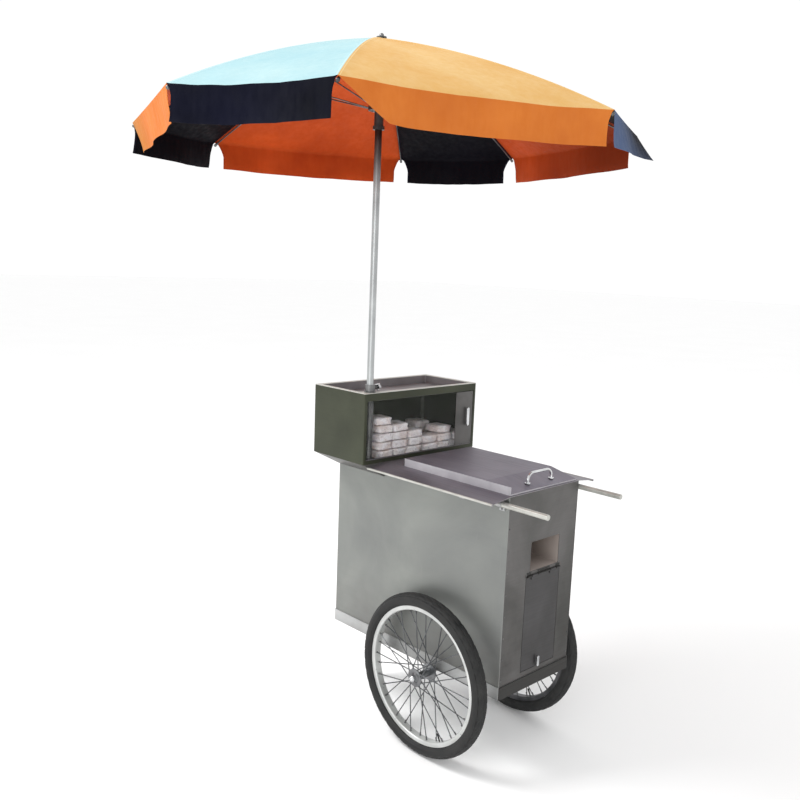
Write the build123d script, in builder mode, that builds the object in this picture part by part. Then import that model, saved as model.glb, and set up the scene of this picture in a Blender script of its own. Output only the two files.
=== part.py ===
from build123d import *
import math
import os

# Push vending cart with a display box and an eight-rib umbrella.
# Millimetres, +Z up, +X towards the operator's handles, -Y the cart's right-hand side.
# The origin is on the floor, under the axis of the umbrella pole.

os.makedirs("parts", exist_ok=True)

# ---------------------------------------------------------------- driving dimensions
axle_x = 372.0              # axle, from the pole
mid_y = 285.0               # centre line of the cart, from the pole
wheel_od = 660.0            # 26 inch bicycle wheel
tyre_w = 66.0               # balloon tyre
wheel_plane = 287.5         # wheel centre plane, from the centre line
axle_z = wheel_od / 2

cab_front = axle_x - 636.0
cab_rear = axle_x + 333.0
cab_half = 215.0            # half width of the cabinet
cab_bottom = 332.0
rail_top = 382.0            # top of the base rail, with its bright ledge
deck_top = 1125.0
sheet = 2.0

wing_half = 312.0           # outer edge of the deck's side wings
wing_top = 1113.0
bead_r = 4.0

box_front = axle_x - 668.0
box_rear = axle_x - 341.5
box_half = 337.0
box_top = 1421.0
rim_w = 20.0                # light rim round the top tray
tray_depth = 38.0
riser_foot = 1062.0

lid_front = axle_x - 235.0
lid_rear = axle_x + 325.0
lid_crease = axle_x + 200.0
lid_half = 203.0
lid_top = 1158.0
lid_low = 1131.0            # height of the lid along its rear edge
lid_base = deck_top + 0.5

handle_z = 1095.0
handle_y = 229.0
handle_od = 21.3
handle_end = axle_x + 518.0

pole_od = 28.0
pole_top = 2778.0
crown_r = 36.0              # pivot circle of the ribs and of the stretchers
crown_z = 2768.0
tip_r = 983.0
tip_z = 2452.0
rib_rise = 72.0             # how far the rib's control point stands off its chord
rib_share = 0.47            # where along the rib the stretcher is pinned
rib_d = 6.0
canopy_r = 993.6
canopy_z = 2461.0
canopy_apex = 2799.0
valance = 114.0
first_rib = -133.07         # direction of the first rib, degrees
wide_narrow = 5.63          # ribs stand this far off even spacing, in turn
rib_count = 8
fold_deg = 62.0             # how far each rib swings down

axle_d = 16.0
running = 0.05              # radial clearance of a part that turns on a pin

hinge_z = deck_top + 6.5
hinge_x = lid_front - 6.0

prop_x = axle_x - 590.0
prop_pivot_z = 314.0

cab_mid_x = (cab_front + cab_rear) / 2
cab_len = cab_rear - cab_front
box_mid_x = (box_front + box_rear) / 2
box_len = box_rear - box_front

# ================================================================= cabinet
# ---- base frame: rail round the foot of the cabinet, with a floor and cross members
rail_out = 3.0
with BuildPart() as base_frame:
    with BuildSketch(Plane.XY.offset(cab_bottom)):
        with Locations((cab_mid_x, mid_y)):
            RectangleRounded(cab_len + 2 * rail_out, 2 * (cab_half + rail_out), 6)
            Rectangle(cab_len - 2 * 27, 2 * (cab_half - 27), mode=Mode.SUBTRACT)
    extrude(amount=3)
    with BuildSketch(Plane.XY.offset(cab_bottom + 3)):
        with Locations((cab_mid_x, mid_y)):
            RectangleRounded(cab_len + 2 * rail_out, 2 * (cab_half + rail_out), 6)
            Rectangle(cab_len, 2 * cab_half, mode=Mode.SUBTRACT)
    extrude(amount=rail_top - cab_bottom - 3)
    # floor of the cabinet
    with BuildSketch(Plane.XY.offset(rail_top - sheet)):
        with Locations((cab_mid_x, mid_y)):
            Rectangle(cab_len, 2 * cab_half)
    extrude(amount=sheet)
    # cross member over the axle saddles
    with Locations((axle_x, mid_y, 359.5)):
        Box(70, 2 * cab_half, 3)
    for step in (-33.5, 33.5):
        with Locations((axle_x + step, mid_y, 370.5)):
            Box(3, 2 * cab_half, 19)
    # cross member over the prop leg
    with Locations((prop_x, mid_y, cab_bottom + 1.5)):
        Box(70, 2 * cab_half, 3)
    for step in (-33.5, 33.5):
        with Locations((prop_x + step, mid_y, 357.5)):
            Box(3, 2 * cab_half, 45)
    # notches that let the axle through the rail
    with BuildSketch(Plane.XZ.offset(-mid_y)):
        with Locations((axle_x, axle_z)):
            Circle(axle_d / 2 + 1)
        with Locations((axle_x, axle_z - 10)):
            Rectangle(axle_d + 2, 20)
    extrude(amount=cab_half + 2 * rail_out, both=True, mode=Mode.SUBTRACT)
    # welded bracket and pin of the prop leg
    with Locations((prop_x, mid_y, cab_bottom - 1.5)):
        Box(70, 46, 3)
    for side in (-1, 1):
        with BuildSketch(Plane.XZ.offset(-(mid_y + side * 18.5) - 1.5)):
            with Locations((prop_x, prop_pivot_z + 8)):
                Rectangle(34, 16)
            with Locations((prop_x, prop_pivot_z)):
                Circle(14)
        extrude(amount=3)
    with Locations((prop_x, mid_y, prop_pivot_z)):
        Cylinder(4, 50, rotation=(90, 0, 0))
base_frame.part.label = "base_frame"
export_step(base_frame.part, "parts/base_frame.step")

# ---- skin: one sheet folded round both sides and the front
with BuildPart() as body_shell:
    with BuildSketch(Plane.XY.offset(rail_top)):
        with Locations((cab_mid_x, mid_y)):
            RectangleRounded(cab_len, 2 * cab_half, 5)
            Rectangle(cab_len - 2 * sheet, 2 * (cab_half - sheet), mode=Mode.SUBTRACT)
        with Locations((cab_rear - 10, mid_y)):
            Rectangle(20, 2 * (cab_half - sheet), mode=Mode.SUBTRACT)
    extrude(amount=deck_top - sheet - rail_top)
    # the sides are turned in at the rear, to carry the rear panel
    for side in (-1, 1):
        with Locations((cab_rear - 4, mid_y + side * (cab_half - sheet - 6), (rail_top + deck_top - sheet) / 2)):
            Box(2, 12, deck_top - sheet - rail_top)
    # the open rear end of the wrapped sheet
    with Locations((cab_rear - 1.5, mid_y, (rail_top + deck_top) / 2)):
        Box(3, 2 * (cab_half - sheet), deck_top - rail_top + 20, mode=Mode.SUBTRACT)
body_shell.part.label = "body_shell"
export_step(body_shell.part, "parts/body_shell.step")

# ---- rear panel with the cubby's mouth above and the door's opening below
cubby_y = mid_y + 20.0
cubby_half = 88.0
cubby_low = 808.0
cubby_high = 925.0
door_y = mid_y + 16.0
door_half = 106.0
door_low = 404.0
door_high = 790.0
latch_y = mid_y + 4.0
panel_x = cab_rear - 3
with BuildPart() as rear_panel:
    with BuildSketch(Plane.YZ.offset(panel_x)):
        with Locations((mid_y, (rail_top + deck_top - sheet) / 2)):
            Rectangle(2 * (cab_half - sheet), deck_top - sheet - rail_top)
        with Locations((cubby_y, (cubby_low + cubby_high) / 2)):
            RectangleRounded(2 * cubby_half, cubby_high - cubby_low, 6, mode=Mode.SUBTRACT)
        with Locations((door_y, (door_low + door_high) / 2)):
            Rectangle(2 * door_half, door_high - door_low, mode=Mode.SUBTRACT)
    extrude(amount=2)
    # keeper for the cam of the door's latch
    with Locations((panel_x - 3.3, latch_y, door_low - 9)):
        Box(6.6, 44, 14)
rear_panel.part.label = "rear_panel"
export_step(rear_panel.part, "parts/rear_panel.step")

# ---- cubby: a five-sided bin behind its mouth
cubby_depth = 145.0
with BuildPart() as cubby_liner:
    with BuildSketch(Plane.YZ.offset(panel_x - cubby_depth)):
        with Locations((cubby_y, (cubby_low + cubby_high) / 2)):
            Rectangle(2 * cubby_half + 4, cubby_high - cubby_low + 4)
    extrude(amount=cubby_depth)
    with BuildSketch(Plane.YZ.offset(panel_x - cubby_depth + 2)):
        with Locations((cubby_y, (cubby_low + cubby_high) / 2)):
            RectangleRounded(2 * cubby_half, cubby_high - cubby_low, 6)
    extrude(amount=cubby_depth, mode=Mode.SUBTRACT)
cubby_liner.part.label = "cubby_liner"
export_step(cubby_liner.part, "parts/cubby_liner.step")

# ---- deck: flat top with a well opening, side wings that shed water, and hinge knuckles
well_x0 = lid_front + 28
well_x1 = axle_x + 238
well_half = 168.0
knuckle_r = 5.5
pin_r = 3.0
with BuildPart() as deck:
    with BuildSketch(Plane.XY.offset(deck_top - sheet)):
        with Locations((cab_mid_x, mid_y)):
            Rectangle(cab_len, 2 * cab_half)
    extrude(amount=sheet)
    # wings run from the display box to the rear end
    for side in (-1, 1):
        with BuildSketch(Plane.YZ.offset(box_rear + 0.5)):
            with BuildLine():
                Polyline(
                    (mid_y + side * cab_half, deck_top),
                    (mid_y + side * wing_half, wing_top),
                    (mid_y + side * wing_half, wing_top - sheet),
                    (mid_y + side * cab_half, deck_top - sheet),
                    close=True,
                )
            make_face()
        extrude(amount=cab_rear - box_rear - 0.5)
        # rolled bead along the wing's outer edge
        with BuildSketch(Plane.YZ.offset(box_rear + 0.5)):
            with Locations((mid_y + side * wing_half, wing_top - bead_r + 1)):
                Circle(bead_r)
        extrude(amount=cab_rear - box_rear - 0.5)
    with BuildSketch(Plane.XY.offset(deck_top - sheet)):
        with Locations(((well_x0 + well_x1) / 2, mid_y)):
            RectangleRounded(well_x1 - well_x0, 2 * well_half, 20)
    extrude(amount=sheet, mode=Mode.SUBTRACT)
    # knuckles of the lid hinge
    for step in (-120, 120):
        with BuildSketch(Plane.XZ.offset(-(mid_y + step) - 30)):
            with Locations((hinge_x, hinge_z)):
                Circle(knuckle_r)
            with Locations((hinge_x - 3, deck_top + 2)):
                Rectangle(8, 4)
        extrude(amount=60)
    # hinge rod of the lid, pressed into them
    with BuildSketch(Plane.XZ.offset(-mid_y)):
        with Locations((hinge_x, hinge_z)):
            Circle(pin_r)
    extrude(amount=188, both=True)
deck.part.label = "deck"
export_step(deck.part, "parts/deck.step")

# ---- riser: hollow tapered collar that carries the overhang of the display box
with BuildPart() as riser:
    with BuildSketch(Plane.XY.offset(riser_foot)):
        with Locations(((cab_front - 2 + box_rear) / 2, mid_y)):
            Rectangle(box_rear - cab_front + 2, 2 * cab_half + 4)
    with BuildSketch(Plane.XY.offset(deck_top)):
        with Locations((box_mid_x, mid_y)):
            Rectangle(box_len, 2 * box_half - 4)
    loft()
    with BuildSketch(Plane.XY.offset(riser_foot + 3)):
        with Locations(((cab_front + box_rear) / 2, mid_y)):
            Rectangle(box_rear - cab_front - 4, 2 * cab_half)
    with BuildSketch(Plane.XY.offset(deck_top)):
        with Locations((box_mid_x, mid_y)):
            Rectangle(box_len - 8, 2 * box_half - 12)
    loft(mode=Mode.SUBTRACT)
    with Locations(((cab_front + box_rear) / 2 + 10, mid_y, 1090)):
        Box(box_rear - cab_front + 20, 2 * cab_half, 100, mode=Mode.SUBTRACT)
riser.part.label = "riser"
export_step(riser.part, "parts/riser.step")

# ================================================================= hot well
# ---- water pan hung in the deck's opening
well_floor = 968.0
with BuildPart() as water_pan:
    with BuildSketch(Plane.XY.offset(deck_top)):
        with Locations(((well_x0 + well_x1) / 2, mid_y)):
            RectangleRounded(well_x1 - well_x0 + 24, 2 * well_half + 24, 26)
    extrude(amount=1.5)
    with BuildSketch(Plane.XY.offset(well_floor)):
        with Locations(((well_x0 + well_x1) / 2, mid_y)):
            RectangleRounded(well_x1 - well_x0 - 1, 2 * well_half - 1, 19)
    extrude(amount=deck_top - well_floor)
    with BuildSketch(Plane.XY.offset(well_floor + 1.5)):
        with Locations(((well_x0 + well_x1) / 2, mid_y)):
            RectangleRounded(well_x1 - well_x0 - 4, 2 * well_half - 4, 18)
    extrude(amount=deck_top - well_floor, mode=Mode.SUBTRACT)
water_pan.part.label = "water_pan"
export_step(water_pan.part, "parts/water_pan.step")

# ---- two lift-out food pans side by side in the water pan
pan_len = (well_x1 - well_x0) / 2 - 14
pan_x = [(well_x0 + well_x1) / 2 - pan_len / 2 - 4, (well_x0 + well_x1) / 2 + pan_len / 2 + 4]
pan_floor = 1018.0
with BuildPart() as food_pans:
    for x in pan_x:
        with BuildSketch(Plane.XY.offset(deck_top + 1.5)):
            with Locations((x, mid_y)):
                RectangleRounded(pan_len + 7, 2 * well_half + 14, 16)
        extrude(amount=1.2)
        with BuildSketch(Plane.XY.offset(pan_floor)):
            with Locations((x, mid_y)):
                RectangleRounded(pan_len - 14, 2 * well_half - 34, 24)
        extrude(amount=deck_top + 1.5 - pan_floor)
        with BuildSketch(Plane.XY.offset(pan_floor + 1.2)):
            with Locations((x, mid_y)):
                RectangleRounded(pan_len - 16.4, 2 * well_half - 36.4, 23)
        extrude(amount=deck_top + 10 - pan_floor, mode=Mode.SUBTRACT)
food_pans.part.label = "food_pans"
export_step(food_pans.part, "parts/food_pans.step")

# ---- burner: two drilled tubes joined by a manifold, on a tray across the cabinet
burner_z = 906.0
burner_len = 340.0
burner_x = (well_x0 + well_x1) / 2 - 30
with BuildPart() as burner:
    with Locations((burner_x, mid_y, 881)):
        Box(burner_len + 28, 2 * (cab_half - sheet), 2)
    for side in (-1, 1):
        with Locations((burner_x, mid_y + side * (cab_half - sheet - 1), 890)):
            Box(burner_len + 28, 2, 16)
        with Locations((burner_x, mid_y + side * 80, burner_z)):
            Cylinder(11, burner_len, rotation=(0, 90, 0))
        for end in (-120, 120):
            with Locations((burner_x + end, mid_y + side * 80, 889)):
                Box(12, 22, 16)
    with Locations((burner_x + 120, mid_y, burner_z)):
        Cylinder(9, 160, rotation=(90, 0, 0))
burner.part.label = "burner"
export_step(burner.part, "parts/burner.step")

# ---- gas cylinder standing behind the rear door
gas_x = axle_x + 178.0
gas_y = mid_y - 20.0
gas_r = 100.0
with BuildPart() as gas_cylinder:
    with BuildSketch(Plane.XZ.offset(-gas_y)):
        with BuildLine():
            Polyline(
                (gas_x, rail_top + 14),
                (gas_x + 60, rail_top + 14),
                (gas_x + 78, rail_top),
                (gas_x + 84, rail_top),
                (gas_x + 80, rail_top + 24),
            )
            RadiusArc((gas_x + 80, rail_top + 24), (gas_x + gas_r, rail_top + 60), -44)
            Line((gas_x + gas_r, rail_top + 60), (gas_x + gas_r, rail_top + 176))
            RadiusArc((gas_x + gas_r, rail_top + 176), (gas_x + 20, rail_top + 236), -84)
            Polyline(
                (gas_x + 20, rail_top + 236),
                (gas_x + 14, rail_top + 240),
                (gas_x + 14, rail_top + 276),
                (gas_x, rail_top + 276),
                (gas_x, rail_top + 14),
            )
        make_face()
    revolve(axis=Axis((gas_x, gas_y, 0), (0, 0, 1)))
    # the vessel is hollow
    with Locations((gas_x, gas_y, rail_top + 118)):
        Cylinder(gas_r - 3, 118, mode=Mode.SUBTRACT)
    with Locations((gas_x, gas_y, rail_top + 118)):
        Cylinder(76, 186, mode=Mode.SUBTRACT)
    # carrying collar round the valve
    with BuildSketch(Plane.XY.offset(rail_top + 222)):
        with Locations((gas_x, gas_y)):
            Circle(62)
            Circle(59, mode=Mode.SUBTRACT)
    extrude(amount=74)
    with Locations((gas_x + 62, gas_y, rail_top + 268)):
        Box(50, 70, 36, mode=Mode.SUBTRACT)
gas_cylinder.part.label = "gas_cylinder"
export_step(gas_cylinder.part, "parts/gas_cylinder.step")

# ---- copper pipe from the cylinder's valve through the control valve to the manifold
valve_x = axle_x + 268.0
valve_y = mid_y + 100.0
valve_z = 708.0
pipe_z = rail_top + 262
man_x = burner_x + 120
with BuildPart() as gas_pipe:
    with BuildLine() as run_a:
        FilletPolyline(
            (gas_x + 14.2, gas_y, pipe_z),
            (valve_x, gas_y, pipe_z),
            (valve_x, valve_y, pipe_z),
            (valve_x, valve_y, valve_z - 14),
            radius=9,
        )
    with BuildSketch(Plane(origin=(gas_x + 14.2, gas_y, pipe_z), z_dir=(1, 0, 0))):
        Circle(4)
    sweep(path=run_a.line)
    with BuildLine() as run_b:
        FilletPolyline(
            (valve_x, valve_y, valve_z + 14),
            (valve_x, valve_y, 770),
            (burner_x + 191, valve_y, 770),
            (burner_x + 191, valve_y, burner_z + 16),
            (man_x, valve_y, burner_z + 16),
            (man_x, mid_y + 40, burner_z + 16),
            (man_x, mid_y + 40, burner_z + 9),
            radius=3,
        )
    with BuildSketch(Plane(origin=(valve_x, valve_y, valve_z + 14), z_dir=(0, 0, 1))):
        Circle(4)
    sweep(path=run_b.line)
    # body of the control valve, on a strap to the cabinet's side
    with Locations((valve_x, valve_y, valve_z)):
        Box(22, 24, 30)
    with Locations((valve_x, (valve_y + 12 + mid_y + cab_half - sheet) / 2, valve_z)):
        Box(16, mid_y + cab_half - sheet - valve_y - 12, 4)
    with Locations((valve_x + 16, valve_y, valve_z)):
        Cylinder(4, 12, rotation=(0, 90, 0))
gas_pipe.part.label = "gas_pipe"
export_step(gas_pipe.part, "parts/gas_pipe.step")

# ---- knob on the control valve's spindle
with BuildPart() as gas_knob:
    with BuildSketch(Plane.YZ.offset(valve_x + 13)):
        with Locations((valve_y, valve_z)):
            Circle(18)
    extrude(amount=10)
    with Locations((valve_x + 28, valve_y, valve_z)):
        Box(12, 9, 34)
    with BuildSketch(Plane.YZ.offset(valve_x + 13)):
        with Locations((valve_y, valve_z)):
            Circle(4 + running)
    extrude(amount=9.2, mode=Mode.SUBTRACT)
gas_knob.part.label = "gas_knob"
export_step(gas_knob.part, "parts/gas_knob.step")

# ================================================================= lid
with BuildPart() as lid:
    with BuildSketch(Plane.XZ.offset(-mid_y)):
        with BuildLine():
            Polyline(
                (lid_front, lid_base),
                (lid_front, lid_top),
                (lid_crease, lid_top),
                (lid_rear, lid_low),
                (lid_rear, lid_base),
                close=True,
            )
        make_face()
    extrude(amount=lid_half, both=True)
    with BuildSketch(Plane.XZ.offset(-mid_y)):
        with BuildLine():
            Polyline(
                (lid_front + 1.5, lid_base - 1),
                (lid_front + 1.5, lid_top - 1.5),
                (lid_crease - 0.3, lid_top - 1.5),
                (lid_rear - 1.5, lid_low - 1.2),
                (lid_rear - 1.5, lid_base - 1),
                close=True,
            )
        make_face()
    extrude(amount=lid_half - 1.5, both=True, mode=Mode.SUBTRACT)
    # knuckles round the hinge rod, between those of the deck
    for step, half in ((-167.5, 15), (0, 88), (167.5, 15)):
        with BuildSketch(Plane.XZ.offset(-(mid_y + step) - half)):
            with Locations((hinge_x, hinge_z)):
                Circle(knuckle_r)
            with Locations((hinge_x + 4, hinge_z + 3)):
                Rectangle(5, 5)
            with Locations((hinge_x, hinge_z)):
                Circle(pin_r + running, mode=Mode.SUBTRACT)
        extrude(amount=2 * half)
lid.part.label = "lid"
export_step(lid.part, "parts/lid.step")

# ---- arched chrome handle across the lid's rear slope
grip_x = axle_x + 286.0
grip_y = mid_y + 17.0
grip_half = 73.0
grip_z = lid_top - (lid_top - lid_low) * (grip_x - lid_crease) / (lid_rear - lid_crease)
grip_rise = 42.0
with BuildPart() as lid_handle:
    with BuildLine() as grip_path:
        FilletPolyline(
            (grip_x, grip_y - grip_half, grip_z + 3),
            (grip_x, grip_y - grip_half, grip_z + grip_rise),
            (grip_x, grip_y + grip_half, grip_z + grip_rise),
            (grip_x, grip_y + grip_half, grip_z + 3),
            radius=30,
        )
    with BuildSketch(Plane(origin=(grip_x, grip_y - grip_half, grip_z + 3), z_dir=(0, 0, 1))):
        Circle(5.5)
    sweep(path=grip_path.line)
    for side in (-1, 1):
        with Locations((grip_x, grip_y + side * grip_half, grip_z + 4.2)):
            Cylinder(11, 2.5)
lid_handle.part.label = "lid_handle"
export_step(lid_handle.part, "parts/lid_handle.step")

# ================================================================= push handles
with BuildPart() as push_handles:
    for side in (-1, 1):
        with BuildSketch(Plane.YZ.offset(axle_x + 70)):
            with Locations((mid_y + side * handle_y, handle_z)):
                Circle(handle_od / 2)
                Circle(handle_od / 2 - 2, mode=Mode.SUBTRACT)
        extrude(amount=handle_end - axle_x - 70)
        with BuildSketch(Plane.YZ.offset(handle_end - 4)):
            with Locations((mid_y + side * handle_y, handle_z)):
                Circle(handle_od / 2)
        extrude(amount=4)
    fillet(push_handles.edges().filter_by(GeomType.CIRCLE).group_by(Axis.X)[-1], 2.5)
push_handles.part.label = "push_handles"
export_step(push_handles.part, "parts/push_handles.step")

clamp_x = [axle_x + 100, axle_x + 300]
with BuildPart() as handle_brackets:
    for side in (-1, 1):
        for x in clamp_x:
            with BuildSketch(Plane.YZ.offset(x - 12)):
                with Locations((mid_y + side * handle_y, handle_z)):
                    Circle(handle_od / 2 + 3)
                with Locations((mid_y + side * (cab_half + 1.5), handle_z - 6)):
                    Rectangle(3, 42)
                with Locations((mid_y + side * (cab_half - 5), handle_z)):
                    Rectangle(10, 80, mode=Mode.SUBTRACT)
                with Locations((mid_y + side * handle_y, handle_z)):
                    Circle(handle_od / 2, mode=Mode.SUBTRACT)
            extrude(amount=24)
handle_brackets.part.label = "handle_brackets"
export_step(handle_brackets.part, "parts/handle_brackets.step")

# ================================================================= rear door
door_hinge_x = cab_rear + 3.5
door_hinge_z = door_high + 1.0
with BuildPart() as rear_door:
    with BuildSketch(Plane.YZ.offset(panel_x - 6)):
        with Locations((door_y, (door_low + door_high) / 2)):
            RectangleRounded(2 * door_half - 4, door_high - door_low - 4, 4)
    extrude(amount=8)
    with BuildSketch(Plane.YZ.offset(panel_x - 6)):
        with Locations((door_y, (door_low + door_high) / 2)):
            RectangleRounded(2 * door_half - 7, door_high - door_low - 7, 3)
    extrude(amount=6.5, mode=Mode.SUBTRACT)
    # knuckles and leaf of the top hinge
    for step in (-58, 58):
        with BuildSketch(Plane.XZ.offset(-(door_y + step) - 16)):
            with Locations((door_hinge_x, door_hinge_z)):
                Circle(3.5)
            with Locations((door_hinge_x - 2.8, door_hinge_z - 8)):
                Rectangle(3.4, 16)
            with Locations((door_hinge_x, door_hinge_z)):
                Circle(1.5 + running, mode=Mode.SUBTRACT)
        extrude(amount=32)
    # hole for the latch's spindle
    with Locations((panel_x, latch_y, door_low + 26)):
        Cylinder(4 + running, 20, rotation=(0, 90, 0), mode=Mode.SUBTRACT)
rear_door.part.label = "rear_door"
export_step(rear_door.part, "parts/rear_door.step")

with BuildPart() as door_hinge:
    with BuildSketch(Plane.XZ.offset(-door_y)):
        with Locations((door_hinge_x, door_hinge_z)):
            Circle(1.5)
    extrude(amount=104, both=True)
    for step, half in ((-90, 12), (0, 38), (90, 12)):
        with BuildSketch(Plane.XZ.offset(-(door_y + step) - half)):
            with Locations((door_hinge_x, door_hinge_z)):
                Circle(3.5)
            with Locations((door_hinge_x - 3.5, door_hinge_z + 8)):
                Rectangle(2, 14)
            with Locations((door_hinge_x - 1.75, door_hinge_z + 2.5)):
                Rectangle(3.5, 3)
        extrude(amount=2 * half)
door_hinge.part.label = "door_hinge"
export_step(door_hinge.part, "parts/door_hinge.step")

# ---- latch: upright pull outside; a quarter turn brings its cam down behind the keeper
latch_z = door_low + 26
with BuildPart() as door_latch:
    with BuildSketch(Plane.YZ.offset(panel_x - 10)):
        with Locations((latch_y, latch_z)):
            Circle(4)
    extrude(amount=24)
    with BuildSketch(Plane.YZ.offset(panel_x + 8)):
        with Locations((latch_y, latch_z)):
            SlotOverall(44, 13, rotation=90)
    extrude(amount=9)
    fillet(door_latch.faces().sort_by(Axis.X)[-1].edges(), 2)
    with BuildSketch(Plane.YZ.offset(panel_x - 10)):
        with Locations((latch_y + 12, latch_z)):
            SlotOverall(40, 16)
    extrude(amount=3)
door_latch.part.label = "door_latch"
export_step(door_latch.part, "parts/door_latch.step")

# ================================================================= display box
window_half = 322.0
window_low = deck_top + 16
window_high = 1388.0
box_floor = deck_top + 3
shell_top = box_top - 2
with BuildPart() as box_shell:
    with BuildSketch(Plane.XY.offset(deck_top)):
        with Locations((box_mid_x, mid_y)):
            RectangleRounded(box_len, 2 * box_half, 4)
    extrude(amount=shell_top - deck_top)
    with BuildSketch(Plane.XY.offset(box_floor)):
        with Locations((box_mid_x, mid_y)):
            RectangleRounded(box_len - 4, 2 * box_half - 4, 2)
    extrude(amount=shell_top - box_floor, mode=Mode.SUBTRACT)
    with Locations((box_rear - 1, mid_y, (window_low + window_high) / 2)):
        Box(6, 2 * window_half, window_high - window_low, mode=Mode.SUBTRACT)
box_shell.part.label = "box_shell"
export_step(box_shell.part, "parts/box_shell.step")

# ---- tray let into the top, with a broad pad in the corner where the pole stands
socket_od = 34.0
pad_x = -24.0
pad_y = 28.0
with BuildPart() as top_tray:
    with BuildSketch(Plane.XY.offset(shell_top)):
        with Locations((box_mid_x, mid_y)):
            RectangleRounded(box_len, 2 * box_half, 4)
    extrude(amount=2)
    for wall, floor in ((0.0, 0.0), (1.5, 1.5)):
        with BuildSketch(Plane.XY.offset(box_top - tray_depth + floor)) as basin:
            with Locations((box_mid_x, mid_y)):
                Rectangle(box_len - 2 * (rim_w + wall), 2 * (box_half - rim_w - wall))
            with Locations((pad_x - wall + 30, pad_y + wall - 30)):
                Rectangle(60, 60, mode=Mode.SUBTRACT)
            fillet(basin.vertices(), 10 - wall)
        extrude(amount=tray_depth - floor, mode=Mode.SUBTRACT if wall else Mode.ADD)
    with Locations((0, 0, box_top)):
        Cylinder(socket_od / 2, 20, mode=Mode.SUBTRACT)
top_tray.part.label = "top_tray"
export_step(top_tray.part, "parts/top_tray.step")

# ---- upper and lower tracks of the two sliding doors
outer_x = box_rear - 4.0
inner_x = box_rear - 9.0
pane_t = 2.5
track_top = window_high + 3
with BuildPart() as door_tracks:
    for low, high, lip in ((box_floor, window_low + 2, box_floor + 3), (track_top - 3, track_top + 8, track_top - 4)):
        with BuildSketch(Plane.XZ.offset(-mid_y - box_half + 4)):
            with Locations((box_rear - 7, (low + high) / 2)):
                Rectangle(10, high - low)
            for x in (outer_x, inner_x):
                with Locations((x, lip + 5 if lip > 1200 else lip + 10)):
                    Rectangle(pane_t + 0.7, 13 if lip > 1200 else 20, mode=Mode.SUBTRACT)
        extrude(amount=2 * box_half - 8)
door_tracks.part.label = "door_tracks"
export_step(door_tracks.part, "parts/door_tracks.step")

# ---- clear sliding doors: the outer one has a broad steel stile for its pull
pane_low = box_floor + 3.3
pane_high = track_top + 4.5
stile_w = 112.0
with BuildPart() as door_outer:
    with Locations((outer_x, mid_y + 160, (pane_low + pane_high) / 2)):
        Box(pane_t, 340, pane_high - pane_low)
    with Locations((outer_x + pane_t / 2 + 0.5, mid_y + window_half - stile_w / 2 - 0.5, 1264.5)):
        Box(1, stile_w, 240)
door_outer.part.label = "door_outer"
export_step(door_outer.part, "parts/door_outer.step")

with BuildPart() as door_inner:
    with Locations((inner_x, mid_y - 160, (pane_low + pane_high) / 2)):
        Box(pane_t, 340, pane_high - pane_low)
    with Locations((inner_x, mid_y - 296, 1272)):
        Cylinder(13, 10, rotation=(0, 90, 0), mode=Mode.SUBTRACT)
door_inner.part.label = "door_inner"
export_step(door_inner.part, "parts/door_inner.step")

# ---- chrome pull on the stile
pull_y = mid_y + 279
pull_x = outer_x + pane_t / 2 + 1
with BuildPart() as door_pull:
    with BuildSketch(Plane.YZ.offset(pull_x + 9)):
        with Locations((pull_y, 1272)):
            SlotOverall(84, 16, rotation=90)
    extrude(amount=7)
    fillet(door_pull.faces().sort_by(Axis.X)[-1].edges(), 3)
    for step in (-30, 30):
        with Locations((pull_x + 5, pull_y, 1272 + step)):
            Cylinder(4.5, 10, rotation=(0, 90, 0))
door_pull.part.label = "door_pull"
export_step(door_pull.part, "parts/door_pull.step")

# ---- wrapped buns, stacked in columns that are highest right of the pole
stack_w = 86.0
stack_h = [4, 5, 4, 3, 2, 3, 2]
with BuildPart() as wrapped_stock:
    for row, x in enumerate((-44.0, -178.0)):
        for column, layers in enumerate(stack_h):
            y = mid_y - 322 + stack_w / 2 + 4 + column * (stack_w + 4)
            if row == 0 and y < 60:
                x_place = x - 31
            else:
                x_place = x
            for layer in range(layers):
                with BuildSketch(Plane.XY.offset(box_floor + layer * 36)):
                    with Locations((x_place, y)):
                        RectangleRounded(96 - 6 * (layer % 2), stack_w - 5 * (layer % 2), 14)
                extrude(amount=36)
wrapped_stock.part.label = "wrapped_stock"
export_step(wrapped_stock.part, "parts/wrapped_stock.step")

# ---- socket that holds the umbrella's pole, with a clamp collar above the tray
collar_z = 1440.0
with BuildPart() as umbrella_socket:
    with Locations((0, 0, (box_floor + 1452) / 2)):
        Cylinder(socket_od / 2, 1452 - box_floor)
    with Locations((-3, 0, box_floor + 1.5)):
        Box(40, 60, 3)
    with Locations((0, 0, box_top + 1.5)):
        Cylinder(24, 3)
    with Locations((0, 0, collar_z)):
        Cylinder(21, 24)
    with Locations((0, 24, collar_z)):
        Cylinder(9, 20, rotation=(90, 0, 0))
    with Locations((0, 0, 1300)):
        Cylinder(pole_od / 2 + running, 600, mode=Mode.SUBTRACT)
    with Locations((0, 24, collar_z)):
        Cylinder(4 + running, 60, rotation=(90, 0, 0), mode=Mode.SUBTRACT)
umbrella_socket.part.label = "umbrella_socket"
export_step(umbrella_socket.part, "parts/umbrella_socket.step")

with BuildPart() as clamp_screw:
    with Locations((0, (pole_od / 2 + 0.3 + 44) / 2, collar_z)):
        Cylinder(4, 44 - pole_od / 2 - 0.3, rotation=(90, 0, 0))
    with BuildSketch(Plane.XZ.offset(-38)):
        with Locations((0, collar_z)):
            Circle(12)
            with PolarLocations(12, 5):
                Circle(4)
    extrude(amount=-11)
clamp_screw.part.label = "clamp_screw"
export_step(clamp_screw.part, "parts/clamp_screw.step")

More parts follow.
